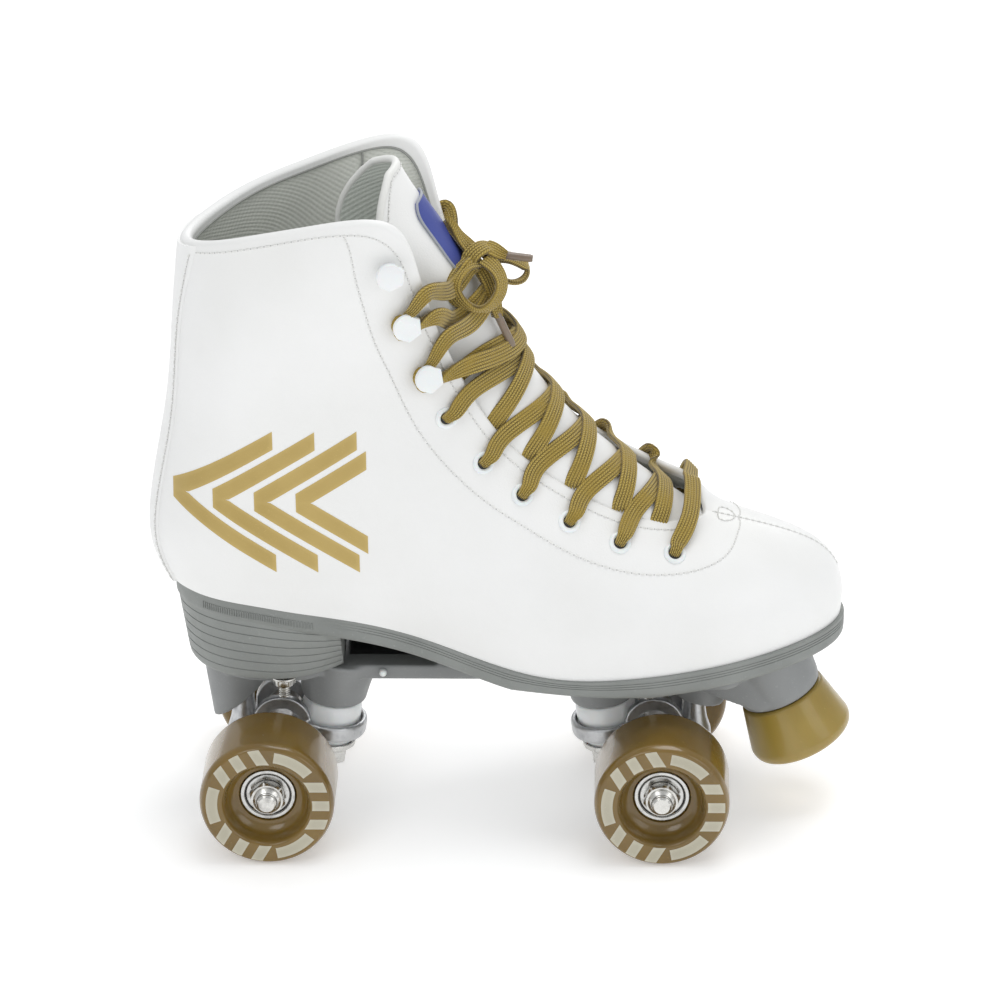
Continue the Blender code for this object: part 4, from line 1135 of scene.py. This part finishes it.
def wheel_shell(axis):
    face, hub = WHEEL_HALF, HUB_FACE
    profile = [(14.0, -face), (24.6, -face), (WHEEL_RADIUS, 2.6 - face), (WHEEL_RADIUS, face - 2.6)]
    profile += [(25.5, face), (17.9, face), (17.0, face - 1.6), (16.0, hub + 2.6), (13.4, hub + 0.4)]
    profile += [(11.6, hub + 0.1), (11.5, hub - 1), (11.15, hub - 1.2), (11.15, hub - 7), (9, hub - 7)]
    profile += [(9, -7.0), (11.15, -7.0), (11.15, -13.6), (11.8, -14.2)]
    radii = [1.2, 1.5, 1.8, 2.0, 1.1, 1.3, 3.4, 2.8, 0.8, 0.2, 0.3, 0.2, 0.2, 0.2, 0.2, 0.2, 0.4, 0.6]
    return turned(profile, axis, radii, 128, 5)


def wheel_print(axis):
    """Own pattern on the wheel's face: three sets of upright bars with an arc between sets."""
    low, high = 18.4, 25.2
    patches = []
    for centre in np.radians((30, 150, 270)):
        for offset in (-8.4, 0, 8.4):
            x = offset + np.linspace(-2.2, 2.2, 5)[None]
            t = np.linspace(0, 1, 6)[:, None]
            y = np.sqrt(low ** 2 - x ** 2) * (1 - t) + np.sqrt(high ** 2 - x ** 2) * t
            spot = (x + 1j * y) * np.exp(1j * centre)
            patches.append((spot.real, spot.imag))
        angle = centre + math.pi * 5 / 6 + np.linspace(0.36, -0.36, 24)[None]
        radius = np.linspace(19.6, 24.2, 4)[:, None]
        patches.append((radius * np.cos(angle), radius * np.sin(angle)))
    heights = (WHEEL_HALF + 0.05, WHEEL_HALF - 0.4)
    return [moved(slab_of(*[np.dstack([x, y, 0 * x + z]) for z in heights]), axis) for x, y in patches]


def bearing_shells(place):
    """Outer ring, shield, inner ring and a black ring of painted shade for the gap round the shield."""
    outer = mirrored([(9.5, -BEARING_HALF), (11, -BEARING_HALF)]) + [(9.2, 2.9), (9.2, -2.9)]
    shield = mirrored([(5.4, -3.0), (8.6, -3.0), (8.9, -2.6)])
    inner = mirrored([(4.05, -BEARING_HALF), (5.7, -BEARING_HALF)])
    # black ring of painted shade where the gap round the shield is
    gap = turned(mirrored([(8.5, -2.4), (9.6, -2.4)]), place)
    return [turned(outer, place, 0.35), turned(shield, place, 0.3), turned(inner, place, 0.3), (*gap, 1)]


def make_wheel(place, axle_x, hand):
    """One wheel with its print, both bearings and the nut that holds it on the axle."""
    name = f"{place}_{'left' if hand > 0 else 'right'}"
    body = f"{name}_wheel"
    axis = across_frame(axle_x, hand * WHEEL_MID_Y, hand=hand)
    add_piece(f"{name}_wheel_tyre", [wheel_shell(axis)], WHEEL_LOOK, body, body=body)
    add_piece(f"{name}_wheel_print", wheel_print(axis), WHEEL_PRINT, body=body)
    for word, middle in (("outer", HUB_FACE - BEARING_HALF), ("inner", INNER_BEARING)):
        shells = bearing_shells(axis @ np.array(Matrix.Translation((0, 0, middle))))
        add_piece(f"{name}_{word}_race", shells, [STEEL, SHADE_BLACK],
                  f"{name}_{word}_bearing", 35, body)
    # each nut has stopped at an angle of its own
    spin = np.array(Matrix.Rotation(0.35 * hand + axle_x * 0.01, 4, "Z"))
    nut = hex_nut(AXLE_NUT, HUB_FACE + 0.4, HUB_FACE + 6.4, 4.1, collar=2.2)
    washer = turned(oblong((4.1, HUB_FACE - 0.05), (6.6, HUB_FACE + 0.5)), axis, 0.15, 48)
    add_piece(f"{name}_lock_nut", [moved(nut, axis @ spin), washer], ZINC,
              f"{name}_axle_nut", 28, f"{place}_truck")


def arc_plate(axle_x, hand, y):
    """A C-shaped rib of the hanger from the ring up over the axle to the pivot."""
    bow = np.radians(np.linspace(-20, 165, 20))
    outline = [(3 + 12 * math.cos(t), 37 + 12 * math.sin(t)) for t in bow] + [(-9.5, 26), (-4.5, 27)]
    outline += [(3 + 7.4 * math.cos(t), 36.5 + 7.4 * math.sin(t)) for t in bow[::-1]] + [(8.5, 27), (14, 28)]
    return extruded(np.array(outline)[::hand] * (hand, 1) + (axle_x, 0), (y + 2, y - 2), 1)


def make_hanger(place, axle_x, hand):
    """The truck's casting: axle barrel, cushion ring, pivot post, and the arms and ribs between them."""
    half = [(0, -30.4), (7.0, -30.4), (7.4, -24), (8.8, -14)]
    barrel = half + [(9.4, 0)] + mirrored(half)[4:]
    ring = [(7.2, -17.6), (14.4, -17.6), (15.0, -16.6), (15.0, -11.6), (14.2, -10.6), (12.9, -10.8)]
    ring += [(12.7, -13.4), (7.2, -13.4)]
    post = [(0, 24), (7.2, 24), (7.0, 31), (5.4, 36), (4.5, 43), (4.3, 48), (0, 49.8)]
    pivot_x = axle_x + hand * PIVOT_X
    arm, neck = sorted((pivot_x, axle_x)), sorted((axle_x + hand * 2, axle_x + hand * 11))
    shells = [turned(barrel, across_frame(axle_x), 1.5, 48, closed=False),
              turned(ring, kingpin_frame(axle_x, hand), 0.5),
              turned(post, standing_frame(pivot_x), 1.0, 40, closed=False),
              block((arm[0], -5.5, 22.5), (arm[1], 5.5, 33)),
              block((neck[0], -10.5, 28.5), (neck[1], 10.5, 34.6)),
              arc_plate(axle_x, hand, -8.6), arc_plate(axle_x, hand, 8.6)]
    fused(f"{place}_truck_casting", shells, CAST, f"{place}_hanger", f"{place}_truck", 0.55)


def make_axle(place, axle_x):
    end = threads(AXLE_RADIUS, AXLE_END - 9, AXLE_END)
    profile = mirrored([(r, -z) for r, z in end[::-1]])
    add_piece(f"{place}_axle_bar", [turned(profile, across_frame(axle_x), steps=40, closed=False)], ZINC,
              f"{place}_axle", 30, f"{place}_truck", weld=True)


def make_cushions(place, kingpin):
    """The cushions above and below the hanger's ring."""
    upper = [(5.3, -12.9), (11.6, -12.9), (12.2, -9.5), (12.2, -6.0), (11.6, -2.9), (5.3, -2.9)]
    lower = [(5.3, -22.4), (9.8, -22.4), (10.6, -20.2), (9.8, -17.8), (5.3, -17.8)]
    for word, profile, still, moving in (("upper", upper, -3, -13), ("lower", lower, -22.5, -17.8)):
        piece = add_piece(f"{place}_{word}_bushing", [turned(profile, kingpin, 1.0)], CUSHION_LOOK,
                          f"{place}_{word}_cushion", body=None)
        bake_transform(piece)


def make_truck(place, axle_x, hand):
    make_hanger(place, axle_x, hand)
    make_axle(place, axle_x)
    kingpin = kingpin_frame(axle_x, hand)
    make_cushions(place, kingpin)
    retainer = [(5.3, -24.2), (10.6, -24.2), (11.6, -23.2), (11.6, -21.0), (10.9, -21.0), (10.6, -22.8)]
    retainer.append((5.3, -22.8))
    add_piece(f"{place}_retainer_cup", [turned(retainer, kingpin, 0.35)], ZINC,
              f"{place}_cushion_retainer", 35)
    pin = [(r, -z) for r, z in threads(5.0, 20, 34, 1.5)[::-1]]
    pin += [(5.0, 12.6), (8.5, 12.6), (8.5, 17.0), (0, 17.0)]
    add_piece(f"{place}_kingpin_bolt", [turned(pin, kingpin, steps=40, closed=False)], ZINC,
              f"{place}_kingpin", 30, weld=True)
    add_piece(f"{place}_kingpin_lock_nut", [moved(hex_nut(KINGPIN_NUT, -31.4, -24.5, 5.05), kingpin)], ZINC,
              f"{place}_kingpin_nut", 28, f"{place}_kingpin_nut")
    low = CUP_LOW[place]
    cup = [(6.6, low - 0.5), (8.4, low - 0.5), (8.4, 52.8), (1.5, 52.8), (1.5, 51.8), (5.5, 51.5)]
    cup.append((5.5, low + 3))
    cup = turned(cup, standing_frame(axle_x + hand * PIVOT_X), 0.5)
    add_piece(f"{place}_pivot_bushing", [slanted(cup, axle_x, hand)], CUSHION_LOOK,
              f"{place}_pivot_cup")
    for side in (-1, 1):
        make_wheel(place, axle_x, side)


# ---- plate, toe stop and bolts
PLATE_TOP = 66.0
STOP_FRAME = leaning_frame((206.0, 0.0, 48.0), math.radians(-24))
BOLTS = {"rear": 5.5, "front": 152.0}
BOLT_Y = 21.5


def slanted(shell, axle_x, hand):
    """Cuts a pivot boss or cup on the slant, lower away from the truck."""
    points, faces = shell
    share = np.clip((60 - points[:, 2]) / 13, 0, 1) * (0.8 if hand > 0 else 0.3)
    points[:, 2] += hand * (points[:, 0] - axle_x - hand * PIVOT_X) * share
    return points, faces


def make_plate():
    """The chassis with its bosses, a black recess and web of painted shade behind its window, and two small
    pins.
    """
    spine = oblong((-23, -13.4), (196, 13.4))
    heel = mirrored([(-24, -11), (-10, -20), (12, -21), (26, -13)])
    fore = mirrored([(108, -16), (114, -27), (186, -27), (192, -16)])
    shells = [extruded(rounded(spine, 6), (59.2, PLATE_TOP - 0.6), 2)]
    shells += [extruded(rounded(outline, 5), (61.6, PLATE_TOP), 2) for outline in (heel, fore)]
    shells += [block((x - 1, -12.5, 64), (x + 1, 12.5, 69)) for x in (68, 92)]
    wedge = [(165, 59), (198, 46), (206, 56), (206, 65.6), (165, 65.6)]
    shells.append(extruded(rounded(wedge, 1.5), (17, -17), 1))
    for place, axle_x, hand in TRUCKS:
        boss = [(0, -2.4), (13.2, -2.4), (14.2, 4), (16.5, 15), (17.5, 18), (0, 18)]
        shells.append(turned(boss, kingpin_frame(axle_x, hand), 1.2, 64, 3, False))
        low = CUP_LOW[place]
        pivot = [(8.8, low), (11.2, low), (12.2, low + 5), (14.2, 60), (15.2, 64.5), (0, 64.5)]
        pivot += [(0, 53.4), (8.8, 53.4)]
        pivot = turned(pivot, standing_frame(axle_x + hand * (PIVOT_X - 1)), 0.8, 64, 3)
        shells.append(slanted(pivot, axle_x, hand))
    boss = [(0, 0.4), (16.8, 0.4), (17.4, 4), (18.2, 14), (19, 22), (0, 22)]
    shells.append(turned(boss, STOP_FRAME, 1.0, 72, 3, False))
    fused("chassis", shells, NYLON, "plate", "root", 0.75)
    # painted shade: a black patch and a black web stand for the shaded hollow of the chassis under the arch
    recess = block((31, -3.5, 64.9), (104, 12.4, 65.75))
    web = [(30, 65), (104, 65), (104, 66.5), (84, 70.5), (60, 77.5), (42, 83.5), (30, 86)]
    add_piece("chassis_recess_shade", [recess, extruded(web, (9.6, 8.4), 1)], SHADE_BLACK)
    dome = [(0, -1.5), (1.5, -1.5), (1.5, 0.5), (0.9, 1.1), (0, 1.2)]
    pins = [turned(dome, across_frame(45, side * 15.6, 63.2, side), 0.4, 20, 3, False) for side in (-1, 1)]
    add_piece("chassis_pins", pins, CUSHION_LOOK, weld=True)


def make_toe_stop():
    profile = [(16.2, 0.05), (17.4, -0.6), (21.6, -19.6), (20.6, -22.6), (17.0, -24.2), (0.01, -24.2)]
    profile += [(0.01, -13), (4.5, -13), (4.5, 0)]
    radii = [0.4, 0.8, 1.6, 2.4, 4.0, 0.01, 0.01, 0.3, 0.3]
    stop = turned(rounded(profile, radii, 6)[::-1], STOP_FRAME, steps=112)
    add_piece("toe_stop_rubber", [stop], STOP_LOOK, "toe_stop", weld=True)


def make_bolts():
    for place, x in BOLTS.items():
        for side, word in ((-1, "right"), (1, "left")):
            name = f"{place}_{word}_mounting_bolt"
            low, high = [corner[2] for corner in node_box(name)]
            here = standing_frame(x, side * BOLT_Y)
            body = [(r, -z) for r, z in threads(2.5, -64, -low - 1.0, 0.9, 0.4)[::-1]]
            body += [(2.5, high - 1.4), (4.6, high - 1.4), (4.2, high), (0, high)]
            shells = [turned(body, here, steps=32, closed=False),
                      moved(hex_nut(BOLT_NUT, 61.2, 64.4, 2.55, 0.6), here),
                      turned(oblong((2.6, 64.5), (5.2, 65.3)), here, 0.2, 40)]
            add_piece(f"{place}_{word}_plate_bolt", shells, ZINC, name, 30, weld=True)


def dress_kept_nodes():
    """Gives every CAD node that is still shown a procedural material."""
    for name, node in frame["nodes"].items():
        if not node.hide_render:
            node.data.materials.clear()
            node.data.materials.append(BOARD if "board" in name else STEEL)


# ---- stage, light and camera
SOFTBOXES = (("key", (-0.9, -1.4, 1.5), 0.9, 5.5), ("fill", (1.4, -1.2, 0.9), 1.0, 4),
             ("top", (0.3, 0.2, 1.9), 1.0, 11), ("rim", (0.3, 1.5, 1.1), 1.0, 6))


def add_stage():
    """A pale floor, a soft sky and four softboxes given as name, place, size and power."""
    floor = Look("studio_floor", (0.93, 0.93, 0.93, 1), 0.75, Emission_Color=(1, 1, 1, 1),
                 Emission_Strength=0.3)
    floor.tint(floor.noise(3), 0.3, 0.8, (0.9, 0.9, 0.9, 1))
    bpy.ops.mesh.primitive_plane_add(size=14, location=(0, 0, -0.0002))
    plane = bpy.context.object
    plane.name = "studio_floor"
    plane.data.materials.append(floor.material)
    sky = bpy.data.worlds.new("studio")
    bpy.context.scene.world = sky
    sky.use_nodes = True
    background = sky.node_tree.nodes["Background"]
    background.inputs["Color"].default_value = (0.97, 0.985, 1.0, 1)
    background.inputs["Strength"].default_value = 0.6
    target = Vector((0, 0, 0.12))
    for name, place, size, power in SOFTBOXES:
        light = bpy.data.lights.new(name, "AREA")
        light.size = size
        light.energy = power
        lamp = bpy.data.objects.new(name, light)
        lamp.location = place
        lamp.rotation_euler = (target - Vector(place)).to_track_quat("-Z", "Y").to_euler()
        bpy.context.scene.collection.objects.link(lamp)
    bpy.context.scene.view_settings.view_transform = "Standard"


def add_camera():
    azimuth, elevation, roll = math.radians(1.962), math.radians(25.383), math.radians(-0.674)
    distance = 1.8996
    target = Vector(world((92.5, 0, 133.2)))
    back = Vector((math.sin(azimuth) * math.cos(elevation), -math.cos(azimuth) * math.cos(elevation),
                   math.sin(elevation)))
    data = bpy.data.cameras.new("camera")
    data.lens = 171.1
    data.sensor_width = 36
    camera = bpy.data.objects.new("camera", data)
    camera.location = target + back * distance
    camera.rotation_mode = "QUATERNION"
    turn = (-back).to_track_quat("-Z", "Y")
    camera.rotation_quaternion = turn @ Matrix.Rotation(roll, 3, "Z").to_quaternion()
    bpy.context.scene.collection.objects.link(camera)
    bpy.context.scene.camera = camera


make_upper()
make_lining()
make_collar_seams()
make_backstay()
make_stripes()
make_outsole()
make_footbed()
sew_boot()
make_tongue()
make_threads()
make_label()
make_eyelets()
make_hooks()
make_lace()
for truck in TRUCKS:
    make_truck(*truck)
make_plate()
make_toe_stop()
make_bolts()
dress_kept_nodes()
add_stage()
add_camera()
